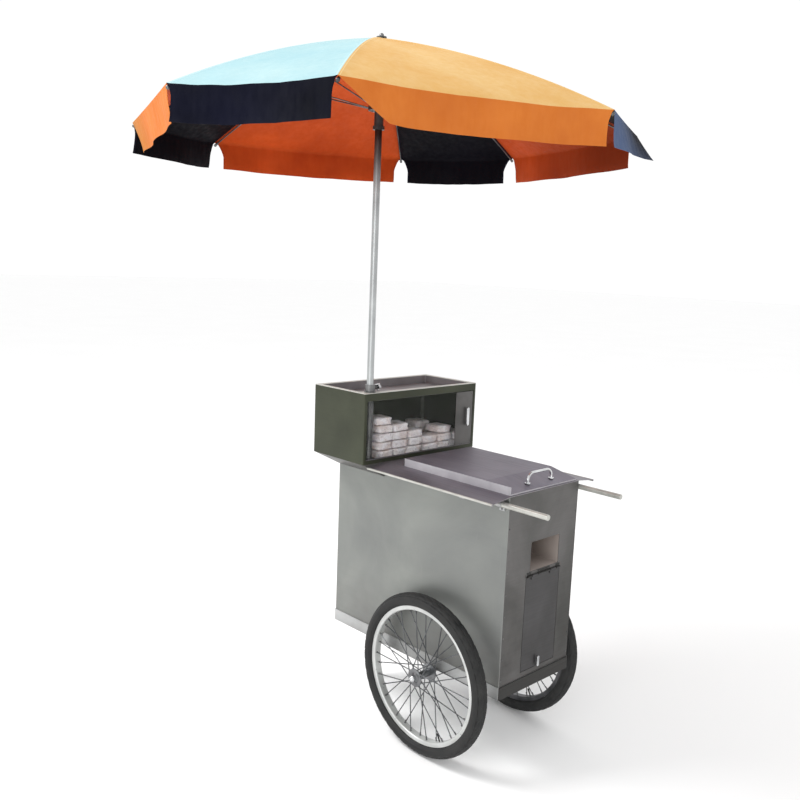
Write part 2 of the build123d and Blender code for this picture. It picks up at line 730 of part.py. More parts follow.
# ================================================================= axle and wheels
axle_end = wheel_plane + 57.5
hub_half = 48.0
with BuildPart() as axle:
    with Locations((axle_x, mid_y, axle_z)):
        Cylinder(axle_d / 2, 2 * axle_end, rotation=(90, 0, 0))
    for side in (-1, 1):
        with Locations((axle_x, mid_y + side * (cab_half + 3 + wheel_plane - hub_half) / 2, axle_z)):
            Cylinder(12, wheel_plane - hub_half - cab_half - 4.5, rotation=(90, 0, 0))
axle.part.label = "axle"
export_step(axle.part, "parts/axle.step")

with BuildPart() as axle_saddles:
    for side in (-1, 1):
        with Locations((axle_x, mid_y + side * 172, 336)):
            Box(52, 26, 44)
        with Locations((axle_x, mid_y + side * 172, axle_z)):
            Cylinder(axle_d / 2, 40, rotation=(90, 0, 0), mode=Mode.SUBTRACT)
axle_saddles.part.label = "axle_saddles"
export_step(axle_saddles.part, "parts/axle_saddles.step")

with BuildPart() as axle_nuts:
    for side in (-1, 1):
        with BuildSketch(Plane.XZ.offset(-(mid_y + side * (wheel_plane + hub_half + 0.5)))):
            with Locations((axle_x, axle_z)):
                RegularPolygon(14, 6)
                Circle(axle_d / 2, mode=Mode.SUBTRACT)
        extrude(amount=-side * 8)
axle_nuts.part.label = "axle_nuts"
export_step(axle_nuts.part, "parts/axle_nuts.step")

rim_r = 281.0
rim_inner = 263.0
spoke_count = 36
flange_r = 30.0
flange_y = 41.0
spoke_d = 4.0
for name, side in (("near", -1), ("far", 1)):
    wheel_y = mid_y + side * wheel_plane
    spin_axis = Axis((axle_x, wheel_y, axle_z), (0, 1, 0))
    # balloon tyre seated on the rim
    with BuildPart() as tyre:
        with BuildSketch(Plane.YZ.offset(axle_x)):
            with Locations((wheel_y, axle_z + wheel_od / 2 - 27)):
                Ellipse(tyre_w / 2, 27)
                Ellipse(tyre_w / 2 - 5, 19.5, mode=Mode.SUBTRACT)
            with Locations((wheel_y, axle_z + rim_r - 20)):
                Rectangle(80, 40, mode=Mode.SUBTRACT)
        revolve(axis=spin_axis)
    tyre.part.label = "tyre_" + name
    export_step(tyre.part, "parts/tyre_" + name + ".step")
    # chrome rim: a channel that opens outwards
    with BuildPart() as rim:
        with BuildSketch(Plane.YZ.offset(axle_x)):
            with Locations((wheel_y, axle_z + (rim_r + rim_inner) / 2)):
                Rectangle(36, rim_r - rim_inner)
            with Locations((wheel_y, axle_z + rim_r - 5)):
                Rectangle(31, 12, mode=Mode.SUBTRACT)
            fillet(vertices().group_by(Axis.Y)[0], 6)
        revolve(axis=spin_axis)
    rim.part.label = "rim_" + name
    export_step(rim.part, "parts/rim_" + name + ".step")
    # spokes laced from alternate flanges of the hub
    with BuildPart() as spokes:
        for i in range(spoke_count):
            start = math.radians(360 / spoke_count * i)
            lean = math.radians(48 if i % 4 < 2 else -48)
            flange = flange_y if i % 2 else -flange_y
            foot = Vector(
                axle_x + flange_r * math.cos(start + lean),
                wheel_y + flange,
                axle_z + flange_r * math.sin(start + lean),
            )
            tip = Vector(
                axle_x + (rim_inner + 1) * math.cos(start),
                wheel_y + flange / 8,
                axle_z + (rim_inner + 1) * math.sin(start),
            )
            with BuildSketch(Plane(origin=foot, z_dir=tip - foot)):
                Circle(spoke_d / 2)
            extrude(amount=(tip - foot).length)
    spokes.part.label = "spokes_" + name
    export_step(spokes.part, "parts/spokes_" + name + ".step")
    # hub with two flanges and a bearing bore
    with BuildPart() as hub:
        with BuildSketch(Plane.YZ.offset(axle_x)):
            with BuildLine():
                Polyline(
                    (wheel_y - hub_half, axle_z + axle_d / 2 + running),
                    (wheel_y - hub_half, axle_z + 17),
                    (wheel_y - flange_y - 2, axle_z + 20),
                    (wheel_y - flange_y - 2, axle_z + 36),
                    (wheel_y - flange_y + 2, axle_z + 36),
                    (wheel_y - flange_y + 3, axle_z + 15),
                    (wheel_y + flange_y - 3, axle_z + 15),
                    (wheel_y + flange_y - 2, axle_z + 36),
                    (wheel_y + flange_y + 2, axle_z + 36),
                    (wheel_y + flange_y + 2, axle_z + 20),
                    (wheel_y + hub_half, axle_z + 17),
                    (wheel_y + hub_half, axle_z + axle_d / 2 + running),
                    close=True,
                )
            make_face()
        revolve(axis=spin_axis)
    hub.part.label = "hub_" + name
    export_step(hub.part, "parts/hub_" + name + ".step")

# ================================================================= prop leg
with BuildPart() as prop_leg:
    with Locations((prop_x, mid_y, (6 + prop_pivot_z) / 2)):
        Box(24, 24, prop_pivot_z - 6)
    with Locations((prop_x, mid_y, prop_pivot_z)):
        Cylinder(12, 33, rotation=(90, 0, 0))
    with Locations((prop_x, mid_y, prop_pivot_z)):
        Cylinder(4 + running, 60, rotation=(90, 0, 0), mode=Mode.SUBTRACT)
    with Locations((prop_x, mid_y, 4)):
        Box(52, 52, 8)
prop_leg.part.label = "prop_leg"
export_step(prop_leg.part, "parts/prop_leg.step")

# ================================================================= umbrella
with BuildPart() as pole:
    with BuildSketch(Plane.XY.offset(box_floor + 0.3)):
        Circle(pole_od / 2)
        Circle(pole_od / 2 - 2, mode=Mode.SUBTRACT)
    extrude(amount=pole_top - box_floor - 0.3)
pole.part.label = "pole"
export_step(pole.part, "parts/pole.step")

rib_angles = [first_rib + 45 * i + wide_narrow * (1 if i % 2 else -1) for i in range(rib_count)]

# ---- crown: slotted head with a pin for each rib, and the finial above the canopy
with BuildPart() as crown:
    with BuildSketch(Plane.XY.offset(crown_z - 10)):
        Circle(42)
        Circle(pole_od / 2, mode=Mode.SUBTRACT)
        for angle in rib_angles:
            with Locations(Rotation(0, 0, angle)):
                with Locations((36, 0)):
                    Rectangle(24, 6.8, mode=Mode.SUBTRACT)
    extrude(amount=20)
    for angle in rib_angles:
        with BuildSketch(Plane(origin=(0, 0, crown_z), x_dir=(0, 0, 1), z_dir=(-math.sin(math.radians(angle)),
                                                                                math.cos(math.radians(angle)), 0))):
            with Locations((0, crown_r)):
                Circle(2)
        extrude(amount=5, both=True)
    with BuildSketch(Plane.XY.offset(pole_top)):
        Circle(20)
    extrude(amount=5)
    with BuildSketch(Plane.XY.offset(pole_top + 5)):
        Circle(8)
    extrude(amount=19)
    with BuildSketch(Plane.XY.offset(canopy_apex + 3)):
        Circle(20)
    extrude(amount=3)
    with Locations((0, 0, canopy_apex + 11)):
        Sphere(9)
crown.part.label = "crown"
export_step(crown.part, "parts/crown.step")

# ---- shape of a rib: an arch from the crown's pin to the tip
chord = Vector(tip_r - crown_r, 0, tip_z - crown_z)
rise = Vector(-chord.Z, 0, chord.X).normalized() * rib_rise
rib_from = Vector(crown_r, 0, crown_z)
rib_to = Vector(tip_r, 0, tip_z)
rib_over = (rib_from + rib_to) * 0.5 + rise
joint_at = rib_from * (1 - rib_share) ** 2 + rib_over * 2 * rib_share * (1 - rib_share) + rib_to * rib_share ** 2
# both links are equally long, so the stretcher's foot stays on the crown's pivot circle
runner_z = 2 * joint_at.Z - crown_z
link = (joint_at - rib_from).length
runner_travel = 2 * link * math.cos(math.atan2(joint_at.X - crown_r, crown_z - joint_at.Z)
                                    - math.radians(fold_deg)) - (crown_z - runner_z)

with BuildPart() as rib_form:
    with BuildLine() as arch:
        Bezier(rib_from, rib_over, rib_to)
    with BuildSketch(Plane(origin=rib_from, z_dir=arch.line % 0)):
        Circle(rib_d / 2)
    sweep(path=arch.line)
    with Locations(rib_from):
        Cylinder(5.5, rib_d, rotation=(90, 0, 0))
    with Locations(rib_from):
        Cylinder(2 + running, 20, rotation=(90, 0, 0), mode=Mode.SUBTRACT)
    with Locations(rib_to):
        Sphere(5)
    # pin for the stretcher, on one side of the rib
    with Locations(joint_at + Vector(0, 4.5, 0)):
        Cylinder(2, 9, rotation=(90, 0, 0))

side_step = 6.3
with BuildPart() as stretcher_form:
    foot_at = Vector(crown_r, side_step, runner_z)
    head_at = joint_at + Vector(0, side_step, 0)
    with BuildSketch(Plane(origin=foot_at, z_dir=head_at - foot_at)):
        Circle(2.4)
    extrude(amount=(head_at - foot_at).length)
    for end in (foot_at, head_at):
        with Locations(end):
            Cylinder(4.5, 4.8, rotation=(90, 0, 0))
    with Locations(head_at):
        Cylinder(2 + running, 20, rotation=(90, 0, 0), mode=Mode.SUBTRACT)

for i, angle in enumerate(rib_angles):
    with BuildPart() as rib:
        with Locations(Rotation(0, 0, angle)):
            add(rib_form.part)
    rib.part.label = "rib_" + str(i + 1)
    export_step(rib.part, "parts/rib_" + str(i + 1) + ".step")
    with BuildPart() as stretcher:
        with Locations(Rotation(0, 0, angle)):
            add(stretcher_form.part)
    stretcher.part.label = "stretcher_" + str(i + 1)
    export_step(stretcher.part, "parts/stretcher_" + str(i + 1) + ".step")

# ---- runner: sleeve on the pole, with an open slot for the foot of each stretcher
with BuildPart() as runner:
    with BuildSketch(Plane.XY.offset(runner_z - 9)):
        Circle(43)
        for angle in rib_angles:
            with Locations(Rotation(0, 0, angle)):
                with Locations((40, side_step)):
                    Rectangle(34, 9, mode=Mode.SUBTRACT)
    extrude(amount=18)
    with BuildSketch(Plane.XY.offset(runner_z - 70)):
        Circle(18)
    extrude(amount=92)
    with BuildSketch(Plane.XY.offset(runner_z - 80)):
        Circle(23)
    extrude(amount=14)
    with Locations((0, 0, runner_z - 40)):
        Cylinder(pole_od / 2 + running, 300, mode=Mode.SUBTRACT)
runner.part.label = "runner"
export_step(runner.part, "parts/runner.step")

# ---- canopy: one thin skin of eight arched panels with a split valance hanging from its rim
canopy_over = (535.0, 2686.0)
cloth = 1.5


def canopy_point(share):
    r = 10 * (1 - share) ** 2 + canopy_over[0] * 2 * share * (1 - share) + canopy_r * share ** 2
    z = canopy_apex * (1 - share) ** 2 + canopy_over[1] * 2 * share * (1 - share) + canopy_z * share ** 2
    return r, z


with BuildPart() as canopy:
    for drop, mode in ((0, Mode.ADD), (cloth * 1.1, Mode.SUBTRACT)):
        for share in (0, 0.2, 0.4, 0.6, 0.8, 1):
            ring_r, ring_z = canopy_point(share)
            with BuildSketch(Plane.XY.offset(ring_z - drop)):
                with BuildLine():
                    Polyline(
                        *[(ring_r * math.cos(math.radians(a)), ring_r * math.sin(math.radians(a))) for a in rib_angles],
                        close=True,
                    )
                make_face()
        loft(mode=mode)
    with Locations((0, 0, canopy_apex)):
        Cylinder(8.5, 40, mode=Mode.SUBTRACT)
    for i, angle in enumerate(rib_angles):
        follow = rib_angles[(i + 1) % rib_count]
        span = (follow - angle) % 360
        middle = math.radians(angle + span / 2)
        reach = canopy_r * math.cos(math.radians(span / 2)) - cloth / 2
        width = 2 * canopy_r * math.sin(math.radians(span / 2)) - 14
        with Locations(Location((reach * math.cos(middle), reach * math.sin(middle), canopy_z - valance / 2 + 0.5),
                                (0, 0, math.degrees(middle)))):
            Box(cloth, width, valance + 1)
canopy.part.label = "canopy"
export_step(canopy.part, "parts/canopy.step")
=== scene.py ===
import math

import bmesh
import bpy
from mathutils import Matrix, Vector, noise


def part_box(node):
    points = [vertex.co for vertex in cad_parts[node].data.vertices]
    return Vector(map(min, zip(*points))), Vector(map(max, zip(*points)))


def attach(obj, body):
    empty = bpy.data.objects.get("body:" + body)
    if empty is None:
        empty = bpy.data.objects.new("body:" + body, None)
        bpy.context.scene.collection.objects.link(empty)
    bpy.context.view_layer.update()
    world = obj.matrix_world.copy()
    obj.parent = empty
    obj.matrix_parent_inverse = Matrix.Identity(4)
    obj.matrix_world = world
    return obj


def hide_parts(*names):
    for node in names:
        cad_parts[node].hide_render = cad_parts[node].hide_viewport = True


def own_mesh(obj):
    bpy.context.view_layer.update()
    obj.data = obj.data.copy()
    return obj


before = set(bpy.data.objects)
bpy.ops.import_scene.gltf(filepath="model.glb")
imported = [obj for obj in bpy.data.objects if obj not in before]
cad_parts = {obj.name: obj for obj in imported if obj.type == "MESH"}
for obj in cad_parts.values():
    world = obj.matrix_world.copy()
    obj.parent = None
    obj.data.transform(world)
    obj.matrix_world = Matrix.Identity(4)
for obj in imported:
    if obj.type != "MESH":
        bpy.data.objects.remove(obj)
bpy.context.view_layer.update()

# ---------------------------------------------------------------- dimensions, metres
mid_y = 0.285
deck_top = 1.125
canopy_apex = 2.799
canopy_r = 0.9936
canopy_z = 2.461
canopy_over = (0.535, 2.686)
canopy_hole = 0.010
valance_drop = 0.114
cloth = 0.0012
first_rib = -133.07
wide_narrow = 5.63
rib_count = 8
rib_reach = 0.983
crown_z = 2.768
tip_z = 2.452
wheel_outer = 0.330
tyre_half = 0.033
tyre_high = 0.027
rim_seat = 0.2815
spoke_count = 36
hub_flange = 0.041
spoke_lean = 8              # the spokes meet the rim this many times closer to its middle

# ---------------------------------------------------------------- camera
CAMERA_AT = Vector((2.6249, -2.3488, 1.9568))
CAMERA_YAW = math.radians(46.145)
CAMERA_PITCH = math.radians(9.0985)
CAMERA_ROLL = math.radians(2.2267)
CAMERA_LENS = 39.068


def make_camera():
    forward = Vector((
        -math.sin(CAMERA_YAW) * math.cos(CAMERA_PITCH),
        math.cos(CAMERA_YAW) * math.cos(CAMERA_PITCH),
        -math.sin(CAMERA_PITCH),
    ))
    level = Vector((math.cos(CAMERA_YAW), math.sin(CAMERA_YAW), 0))
    above = level.cross(forward)
    side = level * math.cos(CAMERA_ROLL) + above * math.sin(CAMERA_ROLL)
    top = above * math.cos(CAMERA_ROLL) - level * math.sin(CAMERA_ROLL)
    data = bpy.data.cameras.new("camera")
    data.lens = CAMERA_LENS
    data.sensor_width = 36
    data.clip_end = 200
    camera = bpy.data.objects.new("camera", data)
    camera.matrix_world = Matrix((
        (side.x, top.x, -forward.x, CAMERA_AT.x),
        (side.y, top.y, -forward.y, CAMERA_AT.y),
        (side.z, top.z, -forward.z, CAMERA_AT.z),
        (0, 0, 0, 1),
    ))
    bpy.context.scene.collection.objects.link(camera)
    bpy.context.scene.camera = camera


make_camera()


# ---------------------------------------------------------------- materials
def tone(red, green, blue):
    """A colour named in 0-255 display values, as the linear colour that a shader takes."""
    linear = [c / 255 / 12.92 if c <= 10 else ((c / 255 + 0.055) / 1.055) ** 2.4 for c in (red, green, blue)]
    return (*linear, 1)


def add(tree, kind, sockets=None, **settings):
    made = tree.nodes.new("ShaderNode" + kind)
    for key, value in settings.items():
        setattr(made, key, value)
    for key, value in (sockets or {}).items():
        if isinstance(value, bpy.types.NodeSocket):
            tree.links.new(value, made.inputs[key])
        else:
            made.inputs[key].default_value = value
    return made


def start(name, **sockets):
    material = bpy.data.materials.new(name)
    material.use_nodes = True
    tree = material.node_tree
    shader = tree.nodes["Principled BSDF"]
    for key, value in sockets.items():
        shader.inputs[key.replace("_", " ")].default_value = value
    return material, tree, shader


def grain(tree, scale, stretch=(1, 1, 1), detail=3.0, roughness=0.55, distortion=0.0):
    place = add(tree, "TexCoord")
    turned = add(tree, "Mapping", {"Vector": place.outputs["Object"], "Scale": stretch})
    return add(tree, "TexNoise", {
        "Vector": turned.outputs[0],
        "Scale": scale,
        "Detail": detail,
        "Roughness": roughness,
        "Distortion": distortion,
    }).outputs[0]


def spread(tree, value, low, high, from_low=0.3, from_high=0.7):
    return add(tree, "MapRange", {
        "Value": value,
        "From Min": from_low,
        "From Max": from_high,
        "To Min": low,
        "To Max": high,
    }).outputs[0]


def between(tree, factor, first, second, blend="MIX"):
    return add(tree, "Mix", {0: factor, 6: first, 7: second}, data_type="RGBA", blend_type=blend).outputs[2]


def bump(tree, shader, height, strength, distance=0.001, under=None):
    sockets = {"Height": height, "Strength": strength, "Distance": distance}
    if under is not None:
        sockets["Normal"] = under
    made = add(tree, "Bump", sockets)
    tree.links.new(made.outputs[0], shader.inputs["Normal"])
    return made.outputs[0]


def axis_tint_ramp(tree, base, axis, ramp_from, ramp_to, tint):
    """Goes over to tint along one axis between two positions: used for painted shade and painted highlights by
    position, and once for a duller orange along the flaps.
    """
    reach = add(tree, "SeparateXYZ", {0: add(tree, "TexCoord").outputs["Object"]}).outputs[axis]
    return between(tree, spread(tree, reach, 0, 1, ramp_from, ramp_to), base, tint)


def brushed(name, light, dark, along=(1, 1, 1), metallic=0.8, rough=(0.25, 0.42), smudge=2.2, grit=0.12, dirt=None,
            painted_side_highlight=None, axis_ramp=None):
    """Rolled sheet: a stretched grain, cloudy smudges, fine scratches and, low down, road dirt.

    upright is the tint of its standing faces, a painted highlight; stained is (axis, clean, dirty, tint): a colour ramp
    along one axis, painted shade where that end goes darker and a painted highlight where it goes lighter."""
    material, tree, shader = start(name, Metallic=metallic)
    clouds = grain(tree, smudge, detail=5.0, distortion=0.4)
    brush = grain(tree, 1.0, stretch=along, detail=4.0, roughness=0.6)
    scratches = grain(tree, 60.0, stretch=(1, 1, 0.06), detail=2.0, distortion=1.5)
    base = between(tree, spread(tree, clouds, 0, 1), dark, light)
    base = between(tree, spread(tree, brush, 0, grit, 0.35, 0.65), base, light)
    base = between(tree, spread(tree, scratches, 0, 0.25, 0.68, 0.8), base, light)
    if dirt:
        place = add(tree, "TexCoord")
        split = add(tree, "SeparateXYZ", {0: place.outputs["Object"]})
        low = spread(tree, split.outputs[2], 0.75, 0.0, dirt[0], dirt[1])
        patchy = add(tree, "Math", {0: low, 1: spread(tree, grain(tree, 9.0, detail=6.0), 0.2, 1)}, operation="MULTIPLY")
        base = between(tree, patchy.outputs[0], base, dirt[2])
    # standing faces take a lighter tint: a painted highlight, as if they caught the light
    if painted_side_highlight:
        facing = add(tree, "SeparateXYZ", {0: add(tree, "TexCoord").outputs["Normal"]}).outputs[2]
        level = add(tree, "Math", {0: facing}, operation="ABSOLUTE").outputs[0]
        tint = between(tree, spread(tree, clouds, 0, 0.5), painted_side_highlight, dark)
        base = between(tree, spread(tree, level, 1, 0, 0.3, 0.7), base, tint)
    if axis_ramp:
        base = axis_tint_ramp(tree, base, *axis_ramp)
    tree.links.new(base, shader.inputs["Base Color"])
    tree.links.new(spread(tree, brush, rough[0], rough[1]), shader.inputs["Roughness"])
    soft = bump(tree, shader, clouds, 0.12, 0.004)
    bump(tree, shader, brush, 0.1, 0.0004, soft)
    return material


def plated(name, light, dark, rough=(0.06, 0.2), speck=90.0):
    """Chrome or zinc: bright, with small pits and a faint haze."""
    material, tree, shader = start(name, Metallic=1.0)
    haze = grain(tree, 12.0, detail=4.0)
    pits = grain(tree, speck, detail=3.0)
    base = between(tree, spread(tree, haze, 0, 1), light, dark)
    base = between(tree, spread(tree, pits, 0, 0.8, 0.66, 0.76), base, dark)
    tree.links.new(base, shader.inputs["Base Color"])
    tree.links.new(spread(tree, haze, rough[0], rough[1]), shader.inputs["Roughness"])
    bump(tree, shader, pits, 0.06, 0.0004)
    return material


def painted(name, light, dark, rough=(0.35, 0.6), peel=220.0, chip=None):
    """Paint or enamel with orange peel, fading and, where given, chips down to the metal."""
    material, tree, shader = start(name, Coat_Weight=0.25, Coat_Roughness=0.25)
    fade = grain(tree, 7.0, detail=4.0)
    skin = grain(tree, peel, detail=2.0)
    base = between(tree, spread(tree, fade, 0, 1), light, dark)
    if chip:
        base = between(tree, spread(tree, grain(tree, 34.0, detail=6.0), 0, 1, 0.69, 0.72), base, chip)
    tree.links.new(base, shader.inputs["Base Color"])
    tree.links.new(spread(tree, fade, rough[0], rough[1]), shader.inputs["Roughness"])
    bump(tree, shader, skin, 0.15, 0.0006)
    return material


def rubber(name, light, dark):
    material, tree, shader = start(name, Specular_IOR_Level=0.35)
    dust = grain(tree, 14.0, detail=6.0)
    pores = grain(tree, 420.0, detail=2.0)
    base = between(tree, spread(tree, dust, 0, 1, 0.35, 0.75), dark, light)
    tree.links.new(base, shader.inputs["Base Color"])
    tree.links.new(spread(tree, dust, 0.5, 0.85), shader.inputs["Roughness"])
    bump(tree, shader, pores, 0.25, 0.0005)
    return material


def woven(name, light, dark, thread, seams=True, sheen=0.12, shine=0.3, axis_ramp=None):
    """Nylon cloth: plain weave from the sheet's own flat measure, fading, stitch rows and sheen."""
    material, tree, shader = start(
        name, Sheen_Weight=sheen, Sheen_Roughness=0.4, Specular_IOR_Level=shine, Sheen_Tint=light
    )
    flat = add(tree, "UVMap")
    weave = []
    for direction in ("X", "Y"):
        weave.append(add(tree, "TexWave", {
            "Vector": flat.outputs[0],
            "Scale": 150.0,
            "Distortion": 0.6,
            "Detail": 1.0,
        }, bands_direction=direction).outputs["Fac"])
    cross = add(tree, "Math", {0: weave[0], 1: weave[1]}, operation="MULTIPLY").outputs[0]
    fade = grain(tree, 3.2, detail=5.0)
    slub = grain(tree, 46.0, stretch=(1, 1, 0.3), detail=3.0)
    base = between(tree, spread(tree, fade, 0, 1), light, dark)
    base = between(tree, spread(tree, slub, 0, 0.22, 0.45, 0.75), base, dark)
    base = between(tree, spread(tree, cross, 0.1, 0.0, 0.0, 1.0), base, dark)
    if axis_ramp:
        base = axis_tint_ramp(tree, base, *axis_ramp)
    if seams:
        # two rows of stitches each side of the rib's seam: u is the distance from it, v along it
        split = add(tree, "SeparateXYZ", {0: flat.outputs[0]})
        away = add(tree, "Math", {0: split.outputs[0]}, operation="ABSOLUTE").outputs[0]
        rows = add(tree, "Math", {0: away, 1: 0.006, 2: 0.0012}, operation="COMPARE").outputs[0]
        dash = add(tree, "Math", {0: split.outputs[1], 1: 0.006}, operation="MODULO").outputs[0]
        dash = add(tree, "Math", {0: dash, 1: 0.0035}, operation="LESS_THAN").outputs[0]
        stitched = add(tree, "Math", {0: rows, 1: dash}, operation="MULTIPLY").outputs[0]
        base = between(tree, stitched, base, thread)
    tree.links.new(base, shader.inputs["Base Color"])
    tree.links.new(spread(tree, slub, 0.55, 0.8), shader.inputs["Roughness"])
    puckers = bump(tree, shader, grain(tree, 22.0, detail=4.0), 0.22, 0.003)
    bump(tree, shader, cross, 0.2, 0.0006, puckers)
    return material


def pane_material():
    """Clear sheet that lets most light straight through, with wiped streaks that haze it."""
    material, tree, shader = start("clear_pane", Base_Color=tone(96, 100, 94), Specular_IOR_Level=0.5)
    wipe = grain(tree, 5.0, detail=6.0, distortion=1.2)
    tree.links.new(spread(tree, wipe, 0.03, 0.16, 0.4, 0.75), shader.inputs["Roughness"])
    tree.links.new(spread(tree, wipe, 0.05, 0.13, 0.35, 0.75), shader.inputs["Alpha"])
    bump(tree, shader, grain(tree, 70.0, detail=2.0), 0.02, 0.0004)
    return material


def film_material():
    """Clear film over white paper and pale buns, with crinkles that catch the light."""
    material, tree, shader = start("wrapped_buns", Coat_Weight=0.8, Coat_Roughness=0.12, Subsurface_Weight=0.08)
    shader.inputs["Subsurface Radius"].default_value = (0.004, 0.003, 0.002)
    crust = grain(tree, 16.0, detail=5.0, distortion=0.8)
    crinkle = add(tree, "TexVoronoi", {
        "Vector": add(tree, "TexCoord").outputs["Object"], "Scale": 55.0, "Randomness": 1.0,
    }, feature="DISTANCE_TO_EDGE").outputs[0]
    folds = grain(tree, 60.0, detail=4.0, distortion=2.0)
    base = between(tree, spread(tree, crust, 0, 1, 0.42, 0.66), tone(255, 252, 255), tone(236, 222, 218))
    base = between(tree, spread(tree, folds, 0, 0.75, 0.55, 0.75), base, tone(150, 134, 142))
    tree.links.new(base, shader.inputs["Base Color"])
    tree.links.new(spread(tree, folds, 0.2, 0.5), shader.inputs["Roughness"])
    under = bump(tree, shader, crinkle, 0.5, 0.004)
    bump(tree, shader, folds, 0.5, 0.003, under)
    return material


road_dirt = tone(62, 58, 54)
finish = {
    "skin": brushed("skin_steel", tone(140, 143, 138), tone(112, 114, 113), (3, 3, 260), 0.55, (0.36, 0.52), 2.0, 0.16,
                    (0.30, 0.62, tone(92, 87, 87))),
    # rear panel: the cabinet steel painted darker for the shade on the rear face, painted shade; the riser and door
    # stile share it
    "dark": brushed("dark_steel", tone(106, 104, 103), tone(66, 66, 63), (3, 3, 220), 0.5, (0.36, 0.55), 3.0, 0.12,
                    (0.34, 0.95, tone(44, 42, 41))),
    # rear door: a still darker copy of it, painted shade
    "door": brushed("shaded_door_steel", tone(76, 75, 76), tone(54, 53, 53), (3, 3, 200), 0.5, (0.38, 0.55), 3.6, 0.1),
    # cubby liner: painted pale and matte so the shaded recess reads as lit, painted light
    "bin": brushed("bin_steel_painted_light", tone(168, 158, 152), tone(138, 128, 122), (3, 160, 3), 0.1, (0.5, 0.7), 5.0, 0.1),
    "box": brushed("box_steel", tone(66, 70, 54), tone(46, 49, 37), (3, 3, 240), 0.5, (0.34, 0.5), 3.4, 0.12),
    # deck: its standing faces, the wings' edge lips, painted lighter as a highlight
    "deck": brushed("deck_steel", tone(132, 126, 134), tone(104, 98, 108), (3, 120, 3), 0.7, (0.34, 0.46), 3.0, 0.06,
                    painted_side_highlight=tone(150, 147, 150)),
    # lid: its standing faces, the side skirt, painted much lighter as a highlight
    "lid": brushed("lid_steel", tone(132, 127, 138), tone(112, 107, 118), (3, 120, 40), 0.6, (0.42, 0.55), 4.4, 0.06,
                   painted_side_highlight=tone(214, 212, 216)),
    # base frame: from x 0.704 back its rear face goes dark, painted shade on the rail's rear face
    "frame": brushed("frame_steel", tone(196, 198, 198), tone(140, 140, 139), (3, 3, 160), 0.6, (0.3, 0.5), 4.0, 0.2,
                     (0.30, 0.36, road_dirt), axis_ramp=(0, 0.704, 0.7055, tone(46, 45, 43))),
    # top tray: lighter above z 1.4188, a painted highlight on the top rim
    "tray": brushed("tray_steel", tone(150, 146, 148), tone(112, 108, 110), (200, 3, 3), 0.3, (0.4, 0.55), 4.0, 0.15,
                    axis_ramp=(2, 1.4188, 1.4196, tone(202, 203, 196))),
    "pan": brushed("pan_steel", tone(196, 196, 192), tone(150, 150, 148), (3, 180, 3), 0.95, (0.12, 0.28), 5.0, 0.15),
    "chrome": plated("chrome", tone(232, 233, 234), tone(176, 178, 180), (0.12, 0.24)),
    "rim": brushed("rim_chrome", tone(206, 208, 206), tone(168, 170, 168), (40, 40, 40), 0.5, (0.26, 0.4), 9.0, 0.2),
    "spoke": plated("spoke_steel", tone(112, 114, 116), tone(70, 72, 74), (0.25, 0.4), 60.0),
    # far rim and spokes: a darker copy of the wheel steel, painted shade
    "far_wheel": plated("far_wheel_shaded_steel", tone(104, 104, 106), tone(60, 60, 62), (0.35, 0.5), 60.0),
    "hub": plated("hub_steel", tone(150, 152, 154), tone(76, 76, 78), (0.25, 0.4), 60.0),
    "handle": brushed("handle_chrome", tone(196, 196, 190), tone(158, 158, 152), (160, 3, 3), 0.35, (0.3, 0.44), 9.0, 0.3),
    # rib steel is kept darker: on the ribs, stretchers, crown and runner that darkness is painted shade under the
    # canopy
    "zinc": plated("rib_steel", tone(128, 128, 128), tone(70, 71, 72), (0.35, 0.55), 60.0),
    # pole: darker from z 2.22 up towards the canopy, painted shade
    "pole": brushed("pole_metal", tone(190, 194, 194), tone(150, 152, 153), (120, 120, 3), 0.8, (0.28, 0.4), 6.0, 0.2,
                    axis_ramp=(2, 2.22, 2.44, tone(66, 48, 42))),
    "rubber": rubber("tyre_rubber", tone(50, 50, 49), tone(18, 19, 20)),
    "knob": painted("knob_plastic", tone(38, 38, 40), tone(22, 22, 24), (0.3, 0.5), 260.0),
    "gas": painted("gas_paint", tone(206, 206, 200), tone(164, 164, 158), (0.35, 0.6), 160.0, tone(96, 84, 76)),
    "copper": plated("pipe_copper", tone(198, 124, 88), tone(104, 62, 44), (0.2, 0.45), 70.0),
    "iron": painted("burner_iron", tone(70, 62, 58), tone(30, 27, 26), (0.6, 0.85), 340.0, tone(122, 70, 42)),
    "pane": pane_material(),
    "film": film_material(),
    # canopy cloth: the top copies are painted pale for the light on the canopy's top, a painted highlight; the inside
    # copies are painted darker for the shade under it
    "orange_top": woven("canopy_orange_top_painted_lit", tone(208, 174, 116), tone(196, 148, 74), tone(222, 200, 150)),
    "blue_top": woven("canopy_blue_top_painted_lit", tone(160, 188, 190), tone(138, 176, 184), tone(196, 214, 220)),
    # orange flaps: go over to a duller orange towards -x
    "orange_edge": woven("canopy_orange_edge", tone(208, 120, 46), tone(184, 96, 32), tone(232, 160, 84), False, 0.05, 0.2,
                         (0, -0.45, -0.75, tone(172, 112, 42))),
    # navy flaps: go over to a lighter steel blue towards +x, painted light shining through the cloth
    "blue_edge": woven("canopy_blue_edge", tone(8, 10, 30), tone(2, 3, 12), tone(50, 58, 92), False, 0.0, 0.08,
                       (0, 0.80, 0.96, tone(78, 94, 126))),
    # inside orange: darker and browner towards +x, painted shade across the underside
    "orange_in": woven("canopy_orange_inside_painted_shade", tone(208, 84, 30), tone(164, 58, 16), tone(118, 40, 18), True, 0.0, 0.12,
                       (0, -0.10, 0.55, tone(126, 44, 10))),
    "blue_in": woven("canopy_blue_inside_painted_shade", tone(9, 7, 16), tone(3, 2, 7), tone(42, 44, 66), True, 0.0, 0.08),
}

